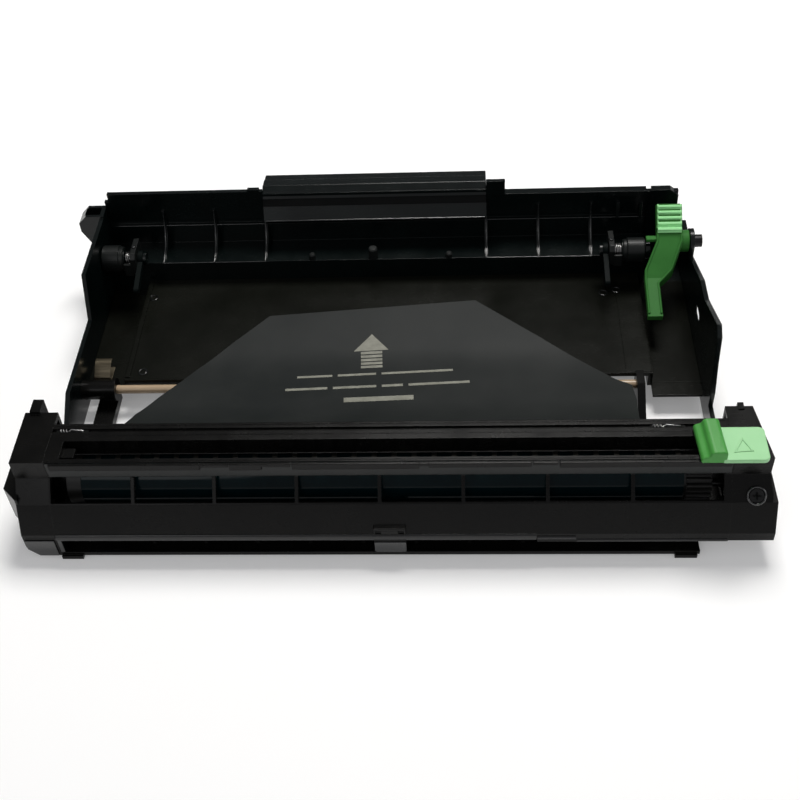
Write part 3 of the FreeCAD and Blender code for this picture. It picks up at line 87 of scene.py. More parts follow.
def noise(tree, scale, detail=3.0, rough=0.55, stretch=(1, 1, 1)):
    """Soft noise that stays with the object."""
    where = tree.nodes.new("ShaderNodeTexCoord")
    mapping = tree.nodes.new("ShaderNodeMapping")
    mapping.inputs["Scale"].default_value = stretch
    node = tree.nodes.new("ShaderNodeTexNoise")
    node.inputs["Scale"].default_value = scale
    node.inputs["Detail"].default_value = detail
    node.inputs["Roughness"].default_value = rough
    tree.links.new(where.outputs["Object"], mapping.inputs["Vector"])
    tree.links.new(mapping.outputs["Vector"], node.inputs["Vector"])
    return node.outputs["Fac"]


def soft_edge(tree, radius):
    """The normal of a small rounding on every edge."""
    bevel = tree.nodes.new("ShaderNodeBevel")
    bevel.samples = BEVEL_SAMPLES
    bevel.inputs["Radius"].default_value = radius
    return bevel.outputs["Normal"]


def bumped(tree, shader, height, strength, distance, edge):
    """Gives a shader fine relief, and soft edges where a radius is given."""
    bump = tree.nodes.new("ShaderNodeBump")
    bump.inputs["Strength"].default_value = strength
    bump.inputs["Distance"].default_value = distance
    tree.links.new(height, bump.inputs["Height"])
    if edge:
        tree.links.new(soft_edge(tree, edge), bump.inputs["Normal"])
    tree.links.new(bump.outputs["Normal"], shader.inputs["Normal"])


def plastic(name, dark, light, rough=(0.22, 0.34), grain=0.05, grain_size=2600, edge=0.0004,
            scuff=0.12, specular=0.5, patch=45):
    """Moulded plastic: spark grain, slow changes of gloss and tone, faint scuffs, soft edges."""
    material, tree, shader = new_material(name)
    clouds = noise(tree, patch, detail=4.0, rough=0.6)
    tree.links.new(ramp(tree, clouds, [(0.3, dark), (0.72, light)]), shader.inputs["Base Color"])
    gloss = ramp(tree, clouds, [(0.3, grey(rough[0])), (0.75, grey(rough[1]))])
    scratches = noise(tree, SCUFF_SIZE, detail=5.0, rough=0.7, stretch=SCUFF_STRETCH)
    marks = ramp(tree, scratches, [(0.58, grey(0)), (0.78, grey(scuff))])
    total = tree.nodes.new("ShaderNodeMath")
    total.operation = "ADD"
    total.use_clamp = True
    tree.links.new(gloss, total.inputs[0])
    tree.links.new(marks, total.inputs[1])
    tree.links.new(total.outputs[0], shader.inputs["Roughness"])
    bumped(tree, shader, noise(tree, grain_size, detail=2.0, rough=0.5), grain, GRAIN_DEPTH, edge)
    shader.inputs["Specular IOR Level"].default_value = specular
    return material


def metal(name, dark, light, rough=(0.2, 0.4), stretch=(1, 40, 40), scale=60, edge=0.0002):
    """Drawn or turned metal with fine streaks along its length."""
    material, tree, shader = new_material(name)
    streaks = noise(tree, scale, detail=6.0, rough=0.7, stretch=stretch)
    tree.links.new(ramp(tree, streaks, [(0.3, dark), (0.7, light)]), shader.inputs["Base Color"])
    tree.links.new(ramp(tree, streaks, [(0.3, grey(rough[0])), (0.7, grey(rough[1]))]),
                   shader.inputs["Roughness"])
    shader.inputs["Metallic"].default_value = 1.0
    bumped(tree, shader, streaks, STREAK_STRENGTH, STREAK_DEPTH, edge)
    return material


FRAME = plastic("frame_plastic", (0.0010, 0.0022, 0.0022), (0.0018, 0.0042, 0.0040),
                rough=(0.18, 0.28), specular=0.26)
COVER = plastic("cover_plastic", (0.0022, 0.0022, 0.0021), (0.0042, 0.0041, 0.0038),
                rough=(0.20, 0.32), specular=0.135)
# Painted light: the floor plate's plastic is lighter and warmer than the frame's, which is the tone
# the lit tops take.
LIT_FLOOR = plastic("lit_floor_plastic", (0.0034, 0.0038, 0.0027), (0.0062, 0.0066, 0.0050),
                rough=(0.18, 0.30), specular=0.12, patch=28)
GEAR = plastic("gear_plastic", (0.006, 0.006, 0.0058), (0.011, 0.011, 0.0105), rough=(0.35, 0.5),
               specular=0.25)
PALE_GREEN = plastic("pale_green", (0.29, 0.61, 0.29), (0.35, 0.68, 0.35), rough=(0.30, 0.42),
                     specular=0.4)
# Painted shade: a darker copy of the slider's pale green, for the grip block's faces that turn away
# from the light.
SHADED_SLIDER_GREEN = plastic("shaded_slider_green", (0.052, 0.27, 0.044), (0.075, 0.33, 0.064),
                       rough=(0.34, 0.46), specular=0.3)
# Painted light: a much lighter copy of the lever's green, for the lit top of the ribbed grip.
LIT_GRIP_GREEN = plastic("lit_grip_green", (0.33, 0.80, 0.33), (0.40, 0.86, 0.40), rough=(0.30, 0.42),
                     specular=0.4)
# Painted shade: a dark copy of the lever's green, for its body, neck, side arm and rims.
SHADED_GREEN = plastic("green_plastic", (0.024, 0.125, 0.021), (0.036, 0.165, 0.031),
                rough=(0.50, 0.62), specular=0.13)
BROWN = plastic("brown_plastic", (0.34, 0.25, 0.16), (0.46, 0.34, 0.22), rough=(0.25, 0.4))
FOAM = plastic("roller_foam", (0.004, 0.004, 0.004), (0.012, 0.012, 0.012), rough=(0.8, 0.95),
               grain=0.6, grain_size=1800, edge=0.0003)
FELT = plastic("felt", (0.30, 0.29, 0.25), (0.45, 0.43, 0.38), rough=(0.9, 1.0), grain=0.8,
               grain_size=2200, edge=0.0003)
# Painted shade: the drum's coating is made almost black, for the unlit inside seen through the
# cover's windows.
SHADED_DRUM = plastic("drum_coating", (0.0006, 0.0040, 0.0052), (0.0012, 0.0070, 0.0085),
               rough=(0.07, 0.14), grain=0.01, scuff=0.04, specular=0.10)
CARD = plastic("card", (0.011, 0.0132, 0.0130), (0.0175, 0.0196, 0.0190), rough=(0.38, 0.50),
               grain=0.10, grain_size=3200, edge=0.0001, specular=0.20, patch=22)
PRINT = plastic("print_ink", (0.17, 0.17, 0.14), (0.255, 0.255, 0.215), rough=(0.5, 0.65),
                grain=0.10, grain_size=3200, edge=0, specular=0.3, patch=260)
MATT = plastic("matt_plastic", (0.0012, 0.0026, 0.0026), (0.0020, 0.0044, 0.0042),
               rough=(0.5, 0.65), specular=0.06)
HUB = plastic("hub_plastic", (0.0045, 0.0056, 0.0054), (0.0078, 0.0092, 0.0088),
              rough=(0.30, 0.45), specular=0.24)
LIP = plastic("lip_plastic", (0.0030, 0.0034, 0.0036), (0.0055, 0.0062, 0.0066),
              rough=(0.14, 0.24), specular=0.42, edge=0.0003)
# Painted shade: a darker, duller copy of the frame plastic, put in slots, grooves and the screw's
# cross where shade falls.
SHADE_PLASTIC = plastic("painted_shade_plastic", (0.0006, 0.0008, 0.0008), (0.0012, 0.0016, 0.0016),
                 rough=(0.5, 0.7), specular=0.1)
# Partly painted highlight: a lighter copy of the dark plastic with strong gloss, laid on edges,
# pips, heads and small plates so that they show bright lines. The gloss catches the lamps; the
# lighter tone is painted.
HIGHLIGHT_TRIM = plastic("glossy_highlight_trim", (0.0035, 0.0042, 0.0044), (0.0065, 0.0078, 0.0082),
               rough=(0.10, 0.20), specular=0.9, edge=0.0003)
STEEL = metal("bright_steel", (0.40, 0.40, 0.40), (0.60, 0.59, 0.58))
DARK_STEEL = metal("dark_steel", (0.016, 0.016, 0.017), (0.034, 0.034, 0.034), rough=(0.3, 0.45))
GRID_STEEL = metal("grid_steel", (0.024, 0.023, 0.021), (0.045, 0.043, 0.039), rough=(0.32, 0.5))
BRASS = metal("contact_brass", (0.10, 0.085, 0.06), (0.17, 0.145, 0.10), rough=(0.28, 0.45))

SLOT_LOOKS = {
    "frame_plastic": FRAME, "cover_plastic": COVER, "gear_plastic": GEAR, "pale_green": PALE_GREEN,
    "green_plastic": SHADED_GREEN, "brown_plastic": BROWN, "roller_foam": FOAM, "felt": FELT,
    "drum_coating": SHADED_DRUM, "card": CARD, "bright_steel": STEEL, "contact_brass": BRASS,
}
NODE_LOOKS = {"main_frame": LIT_FLOOR, "cap_screw": DARK_STEEL, "screen_plate": GRID_STEEL,
              "drum_spindle": DARK_STEEL, "corona_wire": DARK_STEEL, "press_arm_left": MATT,
              "press_arm_right": MATT, "lever_pin": DARK_STEEL}

for entry in frame["record"]["subparts"]:
    node = NODES[entry["node"]]
    node.data.materials.clear()
    node.data.materials.append(NODE_LOOKS.get(entry["node"], SLOT_LOOKS[entry["material_slot"]]))


# Making of pieces

CREASE = math.radians(40)
WELD = 0.001
ROUND_STEPS = 3
ROUND_ANGLE = math.radians(30)
WIRE_STEPS = 3


def finish_piece(piece, look, body, replaced=()):
    """Gives a piece its material, its body and the nodes that it stands for."""
    bpy.context.scene.collection.objects.link(piece)
    piece.data.materials.append(look)
    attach(piece, body)
    if replaced:
        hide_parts(*replaced)
    return piece


def mesh_piece(name, build, look, body, bevel=0.0, smooth=False, replaced=()):
    """A piece from a bmesh that the build function fills, in millimetres."""
    shape = bmesh.new()
    build(shape)
    bmesh.ops.recalc_face_normals(shape, faces=shape.faces)
    for face in shape.faces:
        face.smooth = smooth
    for edge in shape.edges:
        edge.smooth = edge.is_manifold and edge.calc_face_angle() < CREASE
    bmesh.ops.scale(shape, vec=(MM, MM, MM), verts=shape.verts)
    mesh = bpy.data.meshes.new(name)
    shape.to_mesh(mesh)
    shape.free()
    piece = bpy.data.objects.new(name, mesh)
    if bevel:
        rounding = piece.modifiers.new("rounding", "BEVEL")
        rounding.width = bevel * MM
        rounding.segments = ROUND_STEPS
        rounding.limit_method = "ANGLE"
        rounding.angle_limit = ROUND_ANGLE
    return finish_piece(piece, look, body, replaced)


def wire_piece(name, runs, radius, look, body, smooth=False, replaced=()):
    """Round wire along one or more runs of points, in millimetres."""
    curve = bpy.data.curves.new(name, "CURVE")
    curve.dimensions = "3D"
    curve.bevel_depth = radius * MM
    curve.bevel_resolution = WIRE_STEPS
    curve.use_fill_caps = True
    for points in runs:
        spline = curve.splines.new("NURBS" if smooth else "POLY")
        spline.points.add(len(points) - 1)
        for target, point in zip(spline.points, points):
            target.co = (*(value * MM for value in point), 1)
        if smooth:
            spline.order_u = 3
            spline.use_endpoint_u = True
    piece = bpy.data.objects.new(name, curve)
    return finish_piece(piece, look, body, replaced)


def prism(shape, outline, axis, low, high):
    """A flat outline drawn out along X, Y or Z. The outline's two values are the other axes."""
    def point(pair, depth):
        place = list(pair)
        place.insert("XYZ".index(axis), depth)
        return place

    start = [shape.verts.new(point(pair, low)) for pair in outline]
    end = [shape.verts.new(point(pair, high)) for pair in outline]
    shape.faces.new(start)
    shape.faces.new(list(reversed(end)))
    count = len(outline)
    for index in range(count):
        after = (index + 1) % count
        shape.faces.new((start[index], end[index], end[after], start[after]))


def block(shape, x, y, z):
    """A box between two values on each axis."""
    prism(shape, [(x[0], y[0]), (x[1], y[0]), (x[1], y[1]), (x[0], y[1])], "Z", z[0], z[1])


def upright_to(axis):
    """The turn that brings the Z axis onto another one."""
    return Vector((0, 0, 1)).rotation_difference(Vector(axis).normalized()).to_matrix()


def round_point(share, radius, height):
    """A point at a share of a full turn round the Z axis."""
    angle = math.tau * share
    return Vector((radius * math.cos(angle), radius * math.sin(angle), height))


def ring_of_points(shape, turn, centre, radius, height, sides):
    """New points in a circle round a turned axis."""
    return [shape.verts.new(Vector(centre) + turn @ round_point(step / sides, radius, height))
            for step in range(sides)]


def turned(shape, profile, centre, axis, sides=40):
    """A profile of (radius, height) pairs turned round an axis through the centre."""
    turn = upright_to(axis)
    rings = []
    for radius, height in profile:
        rings.append(ring_of_points(shape, turn, centre, radius, height, sides))
    for low, high in zip(rings, rings[1:]):
        for step in range(sides):
            after = (step + 1) % sides
            shape.faces.new((low[step], low[after], high[after], high[step]))
    shape.faces.new(list(reversed(rings[0])))
    shape.faces.new(rings[-1])


def turned_ring(shape, profile, centre, axis, sides=40):
    """A closed profile turned round an axis."""
    turn = upright_to(axis)
    rings = []
    for radius, height in profile:
        rings.append(ring_of_points(shape, turn, centre, radius, height, sides))
    for low, high in zip(rings, rings[1:] + rings[:1]):
        for step in range(sides):
            after = (step + 1) % sides
            shape.faces.new((low[step], low[after], high[after], high[step]))


def coil(centre, axis, radius, length, turns, steps=18):
    """Points of a round spring that starts at the centre and runs along the axis."""
    turn = upright_to(axis)
    count = int(turns * steps)
    return [tuple(Vector(centre) + turn @ round_point(step / steps, radius, length * step / count))
            for step in range(count + 1)]


def cut_copy(node_name, name, build, look, body):
    """A copy of a CAD node with more cut from it; it stands for the node."""
    shape = bmesh.new()
    shape.from_mesh(NODES[node_name].data)
    bmesh.ops.remove_doubles(shape, verts=shape.verts, dist=WELD * MM)
    mesh = bpy.data.meshes.new(name)
    shape.to_mesh(mesh)
    shape.clear()
    build(shape)
    bmesh.ops.recalc_face_normals(shape, faces=shape.faces)
    bmesh.ops.scale(shape, vec=(MM, MM, MM), verts=shape.verts)
    tool_mesh = bpy.data.meshes.new(name + "_cut")
    shape.to_mesh(tool_mesh)
    shape.free()
    piece = bpy.data.objects.new(name, mesh)
    tool = bpy.data.objects.new(name + "_cut", tool_mesh)
    for thing in (piece, tool):
        bpy.context.scene.collection.objects.link(thing)
    cut = piece.modifiers.new("cut", "BOOLEAN")
    cut.operation = "DIFFERENCE"
    cut.solver = "EXACT"
    cut.object = tool
    graph = bpy.context.evaluated_depsgraph_get()
    piece.data = bpy.data.meshes.new_from_object(piece.evaluated_get(graph))
    piece.modifiers.clear()
    bpy.data.objects.remove(tool)
    bpy.context.scene.collection.objects.unlink(piece)
    piece.data.materials.clear()
    return finish_piece(piece, look, body, [node_name])


# The protective card and its print

CARD_OUTLINE = [(-114.2, -66.4), (106.9, -66.4), (106.9, -46.0), (108.0, -28.7), (107.2, -17.4),
                (100.2, -12.9), (94.1, -7.0), (68.4, 16.8), (38.5, 43.1), (-60.4, 33.9),
                (-76.1, 15.5), (-90.4, -2.9), (-98.5, -14.9), (-103.8, -22.8), (-108.0, -30.4),
                (-111.6, -36.5), (-114.2, -45.5)]
CARD_RISE = [(60, 15.0), (2, 15.0), (-16, 17.4), (-36, 21.5), (-66.5, 35.6)]
CARD_SHEET = 0.4
CARD_GRID = 3.0
CARD_CLEAR = 0.02
BEND_REACH = 7.0
BEND_SAMPLES = 9
LIFT_FRONT, LIFT_BACK, LIFT_FADE, LIFT = -64, 4, 30, 0.25
WAVE_HIGH, WAVE_ACROSS, WAVE_START, WAVE_ALONG, WAVE_SKEW = 0.28, 31, 0.6, 17, 70


def card_height(x, y):
    """The card lies on the floor and bends up in one soft curve to the cover."""
    total = 0.0
    for index in range(BEND_SAMPLES):
        place = y + BEND_REACH * (2 * index / (BEND_SAMPLES - 1) - 1)
        for (y0, z0), (y1, z1) in zip(CARD_RISE, CARD_RISE[1:]):
            if y1 <= place <= y0:
                total += z0 + (z1 - z0) * (y0 - place) / (y0 - y1)
                break
        else:
            end_y, end_z = CARD_RISE[-1]
            slope = (end_z - CARD_RISE[-2][1]) / (CARD_RISE[-2][0] - end_y)
            total += end_z + slope * (end_y - place)
    rising = min(max((LIFT_BACK - y) / LIFT_FADE, 0), 1)
    falling = min(max((y - LIFT_FRONT) / LIFT_FADE, 0), 1)
    wave = math.sin(x / WAVE_ACROSS + WAVE_START) * math.sin(y / WAVE_ALONG + x / WAVE_SKEW)
    return total / BEND_SAMPLES + rising * falling * (LIFT + WAVE_HIGH * wave)


def gridded(shape, outline, step):
    """A flat face cut into a grid, so that it can follow a curved height."""
    shape.faces.new([shape.verts.new((x, y, 0)) for x, y in outline])
    for column, normal in ((0, (1, 0, 0)), (1, (0, 1, 0))):
        low = min(pair[column] for pair in outline)
        high = max(pair[column] for pair in outline)
        for index in range(1, int((high - low) / step) + 1):
            place = [0.0, 0.0, 0.0]
            place[column] = low + index * step
            bmesh.ops.bisect_plane(shape, geom=shape.verts[:] + shape.edges[:] + shape.faces[:],
                                   plane_co=place, plane_no=normal, dist=WELD)


def card_layer(shape, outline, step, low, high):
    """A thin layer that follows the card, between two heights over its underside."""
    patch = bmesh.new()
    gridded(patch, outline, step)
    patch.verts.index_update()
    under, over = ([shape.verts.new((vertex.co.x, vertex.co.y,
                                     card_height(vertex.co.x, vertex.co.y) + level))
                    for vertex in patch.verts] for level in (low, high))
    for face in patch.faces:
        order = [vertex.index for vertex in face.verts]
        shape.faces.new([under[index] for index in reversed(order)])
        shape.faces.new([over[index] for index in order])
    for edge in patch.edges:
        if edge.is_boundary:
            first, second = (vertex.index for vertex in edge.verts)
            shape.faces.new((under[first], under[second], over[second], over[first]))
    patch.free()


def build_card(shape):
    """The thin sheet itself."""
    card_layer(shape, CARD_OUTLINE, CARD_GRID, CARD_CLEAR, CARD_SHEET)


PRINT_TURN = math.radians(3.6)
PRINT_CENTRE = Vector((-9.5, 0.0))
INK = 0.05
INK_GRID = 1.5
ARROW = [(-8.2, 9.2), (8.0, 9.2), (0.4, 20.2)]
STRIPES, STRIPE_PITCH, STRIPE_HIGH = 5, 2.45, 1.7
STRIPE_TOP, STRIPE_LEFT, STRIPE_RIGHT = 8.6, -4.9, 5.0
BARS = [(-7.4, 1.5, [(-34, -18), (-15.5, 2), (4.5, 37)]),
        (-16.6, 1.7, [(-39, -20), (-17.5, 2), (4.5, 14), (16.5, 44)]),
        (-26.2, 3.4, [(-12.5, 18.5)])]


def rectangle(left, right, low, high):
    """The four corners of an upright rectangle."""
    return [(left, low), (right, low), (right, high), (left, high)]


def build_print(shape):
    """The arrow with its striped stem, and plain bars in place of writing."""
    figures = [ARROW]
    for index in range(STRIPES):
        top = STRIPE_TOP - STRIPE_PITCH * index
        figures.append(rectangle(STRIPE_LEFT, STRIPE_RIGHT, top - STRIPE_HIGH, top))
    for centre, high, spans in BARS:
        for left, right in spans:
            figures.append(rectangle(left, right, centre - high / 2, centre + high / 2))
    c, s = math.cos(PRINT_TURN), math.sin(PRINT_TURN)
    for figure in figures:
        outline = [(PRINT_CENTRE.x + c * x - s * y, PRINT_CENTRE.y + s * x + c * y)
                   for x, y in figure]
        card_layer(shape, outline, INK_GRID, CARD_SHEET, CARD_SHEET + INK)


mesh_piece("warning_card", build_card, CARD, "housing", smooth=True,
           replaced=["protective_sheet"])
mesh_piece("card_print", build_print, PRINT, "housing")


# Springs of round wire

PRESS_AXIS = (58.5, 32.4)
PIVOT = (60.5, 35.5)
SPRING_WIRE = 0.25
PRESS_COIL_RADIUS, PRESS_COIL_LONG, PRESS_COIL_TURNS = 3.04, 3.4, 4
LEVER_COIL_START, LEVER_COIL_RADIUS, LEVER_COIL_LONG, LEVER_COIL_TURNS = 127.0, 2.6, 4.4, 6
BEARING_COIL_LONG, BEARING_COIL_TURNS = 1.6, 2
BEARING_LEAN = (9.0, -15.59)

for side, start in (("left", -131.7), ("right", 104.7)):
    points = coil((start, *PRESS_AXIS), (1, 0, 0), PRESS_COIL_RADIUS, PRESS_COIL_LONG,
                  PRESS_COIL_TURNS)
    wire_piece("press_coil_" + side, [points], SPRING_WIRE, STEEL, "housing",
               replaced=["press_spring_" + side])
points = coil((LEVER_COIL_START, *PIVOT), (1, 0, 0), LEVER_COIL_RADIUS, LEVER_COIL_LONG,
              LEVER_COIL_TURNS)
wire_piece("lever_coil", [points], SPRING_WIRE, STEEL, "housing",
           replaced=["lever_spring"])


def bearing_coil(side):
    """A short spring under the transfer roller's bearing, leaning towards the drum."""
    low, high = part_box("bearing_spring_" + side)
    centre = (low + high) / 2 / MM
    half = (high - low) / 2 / MM
    lean = math.atan2(*BEARING_LEAN)
    axis = Vector((0, math.sin(lean), math.cos(lean)))
    radius = half.x - SPRING_WIRE
    start = centre - axis * BEARING_COIL_LONG / 2
    points = coil(start, axis, radius, BEARING_COIL_LONG, BEARING_COIL_TURNS)
    wire_piece("bearing_coil_" + side, [points], SPRING_WIRE, STEEL, "housing",
               replaced=["bearing_spring_" + side])


for side in ("left", "right"):
    bearing_coil(side)


# The contact leaf

LEAF_X = (-139.8, -132.2)
LEAF_SHEET = 0.35
LEAF_TAIL, LEAF_FOLD, LEAF_LOW, LEAF_BEND = 6.6, -1.4, 9.2, 1.4
LEAF_BEND_STEPS, LEAF_BEND_STEP = 11, 15
LEAF_BOW_STEPS, LEAF_BOW_LONG, LEAF_BOW_HIGH, LEAF_BOW_SHARE = 8, 7.4, 3.4, 0.62


def build_leaf(shape):
    """A springy strip that folds back over itself in a round bend."""
    centre = LEAF_LOW + LEAF_BEND
    line = [(LEAF_TAIL, LEAF_LOW), (LEAF_FOLD, LEAF_LOW)]
    for step in range(1, LEAF_BEND_STEPS + 1):
        angle = math.radians(-90 - LEAF_BEND_STEP * step)
        line.append((LEAF_FOLD + LEAF_BEND * math.cos(angle), centre + LEAF_BEND * math.sin(angle)))
    for step in range(1, LEAF_BOW_STEPS + 1):
        along = step / LEAF_BOW_STEPS
        rise = LEAF_BOW_HIGH * math.sin(along * math.pi * LEAF_BOW_SHARE)
        line.append((LEAF_FOLD + LEAF_BOW_LONG * along, centre + LEAF_BEND + rise))
    thick = []
    for index, (y, z) in enumerate(line):
        before = Vector(line[max(index - 1, 0)])
        after = Vector(line[min(index + 1, len(line) - 1)])
        heading = (after - before).normalized()
        thick.append((y + heading.y * LEAF_SHEET, z - heading.x * LEAF_SHEET))
    back = [(2 * y - a, 2 * z - b) for (y, z), (a, b) in zip(line, thick)]
    prism(shape, line + list(reversed(back)), "X", *LEAF_X)


# Lever

RIM_LEFT = [(118.4, 21.5, 25.0), (118.4, 40.0, 29.4), (118.6, 44.0, 31.9), (124.5, 55.3, 40.4),
            (124.5, 57.6, 42.1)]
RIM_RIGHT = [(124.0, 21.5, 25.0), (124.0, 38.0, 28.9), (130.4, 44.2, 32.0), (135.4, 55.3, 40.4),
             (135.4, 57.6, 42.1)]
RIM_RADIUS = 0.55
GRIP_X = (124.4, 135.6)
GRIP_ROOT, GRIP_TIP = Vector((58.2, 42.4)), Vector((68.2, 51.4))
GRIP_ALONG = (GRIP_TIP - GRIP_ROOT).normalized()
GRIP_OUT = Vector((-GRIP_ALONG.y, GRIP_ALONG.x))
GRIP_SEAT = 0.3
RIDGES, RIDGE_LOW, RIDGE_HIGH = 5, 0.75, 1.6
RIDGE_PROFILE = [(0.0, RIDGE_LOW), (0.28, RIDGE_LOW), (0.42, RIDGE_HIGH), (0.78, RIDGE_HIGH),
                 (0.92, RIDGE_LOW)]
TONGUE_CUT_X, TONGUE_CUT_GAP, TONGUE_CUT_LONG, TONGUE_CUT_HALF = (116, 138), 0.05, 12, 9
SIDE_CUT = ((117.0, 123.9), (55.5, 68.0), (41.4, 47.0))
SIDE_ARM = ((119.2, 125.0), (55.8, 58.8), (38.9, 40.6))


def build_lever_cutters(shape):
    """What comes off the plain lever: the end of its tongue and its side arm."""
    near = GRIP_TIP + GRIP_ALONG * TONGUE_CUT_GAP
    far = near + GRIP_ALONG * TONGUE_CUT_LONG
    half = GRIP_OUT * TONGUE_CUT_HALF
    prism(shape, [near - half, far - half, far + half, near + half], "X", *TONGUE_CUT_X)
    block(shape, *SIDE_CUT)


def build_side_arm(shape):
    """The short arm beside the lever's neck."""
    block(shape, *SIDE_ARM)


def build_lever_grip(shape):
    """The ribbed thumb pad, its ridges across the lever."""
    step = (GRIP_TIP - GRIP_ROOT).length / RIDGES
    line = []
    for index in range(RIDGES):
        for share, rise in RIDGE_PROFILE:
            line.append(GRIP_ROOT + GRIP_ALONG * step * (index + share) + GRIP_OUT * rise)
    line.append(GRIP_TIP + GRIP_OUT * RIDGE_LOW)
    base = [GRIP_TIP - GRIP_OUT * GRIP_SEAT, GRIP_ROOT - GRIP_OUT * GRIP_SEAT]
    prism(shape, line + base, "X", *GRIP_X)


# The lever's body, side arm and rims wear the shaded green, and its grip wears the lit green:
# painted shade and painted light on one moulding.
cut_copy("lock_lever", "short_lever", build_lever_cutters, SHADED_GREEN, "lever")
mesh_piece("lever_side_arm", build_side_arm, SHADED_GREEN, "lever", bevel=0.4)
mesh_piece("lever_grip", build_lever_grip, LIT_GRIP_GREEN, "lever", bevel=0.2)
wire_piece("lever_rims", [RIM_LEFT, RIM_RIGHT], RIM_RADIUS, SHADED_GREEN, "lever")


# The slider

PLATE_LOW, PLATE_TOP, BLOCK_TOP = 45.7, 47.9, 51.9
SLIDER_FRONT, SLIDER_BACK = -86.6, -68.2
PLATE_X, PLATE_CORNER, PLATE_STEP = (131.6, 150.6), 2.2, 1.2
WIPER_X = ((128.5, 129.5), (133.5, 134.5))
WIPER_Y = ((-79.7, -77.5), (-75.9, -73.7))
WIPER_Z = (40.6, PLATE_LOW + 0.2)
BLOCK_PROFILE = [(123.9, PLATE_LOW), (133.6, PLATE_LOW), (133.6, BLOCK_TOP - 0.9),
                 (132.7, BLOCK_TOP), (128.4, BLOCK_TOP), (127.4, BLOCK_TOP - 0.6),
                 (126.6, PLATE_TOP + 1.4), (124.6, PLATE_TOP + 0.6), (123.9, PLATE_TOP - 0.2)]
BLOCK_SLANT_FRONT, BLOCK_SLANT_BACK, BLOCK_INSET = 0.5, -0.6, 0.2
SLOT_X, SLOT_Y, SLOT_Z = (131.3, 132.1), ((-76.2, -71.5), (-83.4, -78.0)), (51.4, 51.93)
MARK = [Vector((137.2, -82.8)), Vector((144.6, -82.2)), Vector((141.4, -75.2))]
MARK_INNER, MARK_Z = 0.74, (PLATE_TOP - 0.1, PLATE_TOP + 0.25)


def rounded_box(x, y, radius, steps=5):
    """The outline of a rectangle with round corners."""
    corners = [(x[1] - radius, y[1] - radius, 0), (x[0] + radius, y[1] - radius, 90),
               (x[0] + radius, y[0] + radius, 180), (x[1] - radius, y[0] + radius, 270)]
    outline = []
    for corner_x, corner_y, start in corners:
        for step in range(steps + 1):
            turn = math.radians(start + 90 * step / steps)
            outline.append((corner_x + radius * math.cos(turn), corner_y + radius * math.sin(turn)))
    return outline


def build_slider_plate(shape):
    """The flat plate, and the four prongs below it that wipe the wire."""
    outline = rounded_box(PLATE_X, (SLIDER_FRONT, SLIDER_BACK - PLATE_STEP), PLATE_CORNER)
    prism(shape, outline, "Z", PLATE_LOW, PLATE_TOP)
    for x in WIPER_X:
        for y in WIPER_Y:
            block(shape, x, y, WIPER_Z)


def build_slider_grip(shape):
    """The upright block: it slants across, with a step on its left side."""
    start = [shape.verts.new((x + BLOCK_SLANT_FRONT, SLIDER_FRONT + BLOCK_INSET, z))
             for x, z in BLOCK_PROFILE]
    end = [shape.verts.new((x + BLOCK_SLANT_BACK, SLIDER_BACK, z)) for x, z in BLOCK_PROFILE]
    shape.faces.new(start)
    shape.faces.new(list(reversed(end)))
    for index in range(len(BLOCK_PROFILE)):
        after = (index + 1) % len(BLOCK_PROFILE)
        shape.faces.new((start[index], end[index], end[after], start[after]))


def build_slider_slots(shape):
    """Two fine bars along the top of the block."""
    for y in SLOT_Y:
        block(shape, SLOT_X, y, SLOT_Z)


def build_triangle(shape):
    """A raised three-sided outline on the plate."""
    centre = sum(MARK, Vector((0, 0))) / len(MARK)
    inner = [centre + (corner - centre) * MARK_INNER for corner in MARK]
    for index in range(len(MARK)):
        after = (index + 1) % len(MARK)
        prism(shape, [MARK[index], MARK[after], inner[after], inner[index]], "Z", *MARK_Z)


mesh_piece("slider_plate", build_slider_plate, PALE_GREEN, "cleaner", bevel=0.45,
           replaced=["wire_cleaner"])
# The grip block and its bars wear the darker green, which is painted shade; the plate and the mark
# keep the pale green.
mesh_piece("slider_grip", build_slider_grip, SHADED_SLIDER_GREEN, "cleaner", bevel=0.6)
mesh_piece("slider_slots", build_slider_slots, SHADED_SLIDER_GREEN, "cleaner", bevel=0.15)
mesh_piece("slider_mark", build_triangle, PALE_GREEN, "cleaner")


# Cover

WINDOW_FIRST, WINDOW_PITCH, WINDOW_WIDE, WINDOWS = -134.3, 33.5, 32.0, 8
WINDOW_EXTRA_LEFT, WINDOW_EXTRA_RIGHT = 1.2, 2.8
WINDOW_Y, WINDOW_Z = (-92.5, -82.0), (28.1, 36.6)
WINDOW_WALL = ((-135.6, 137.6), (-83.95, -83.5), (36.9, 45.0))
LEDGE_Y, LEDGE_TOP = (-84.9, -83.6), 44.9
LEDGES = [(-134.0, -72.4, 41.7), (-72.4, -61.0, 43.3), (-60.6, -47.6, 41.5), (-47.6, -36.0, 43.3),
          (-35.4, 15.2, 41.7), (15.2, 19.0, 43.3), (19.0, 59.4, 42.4), (60.0, 69.6, 43.5),
          (70.4, 136.8, 41.9)]


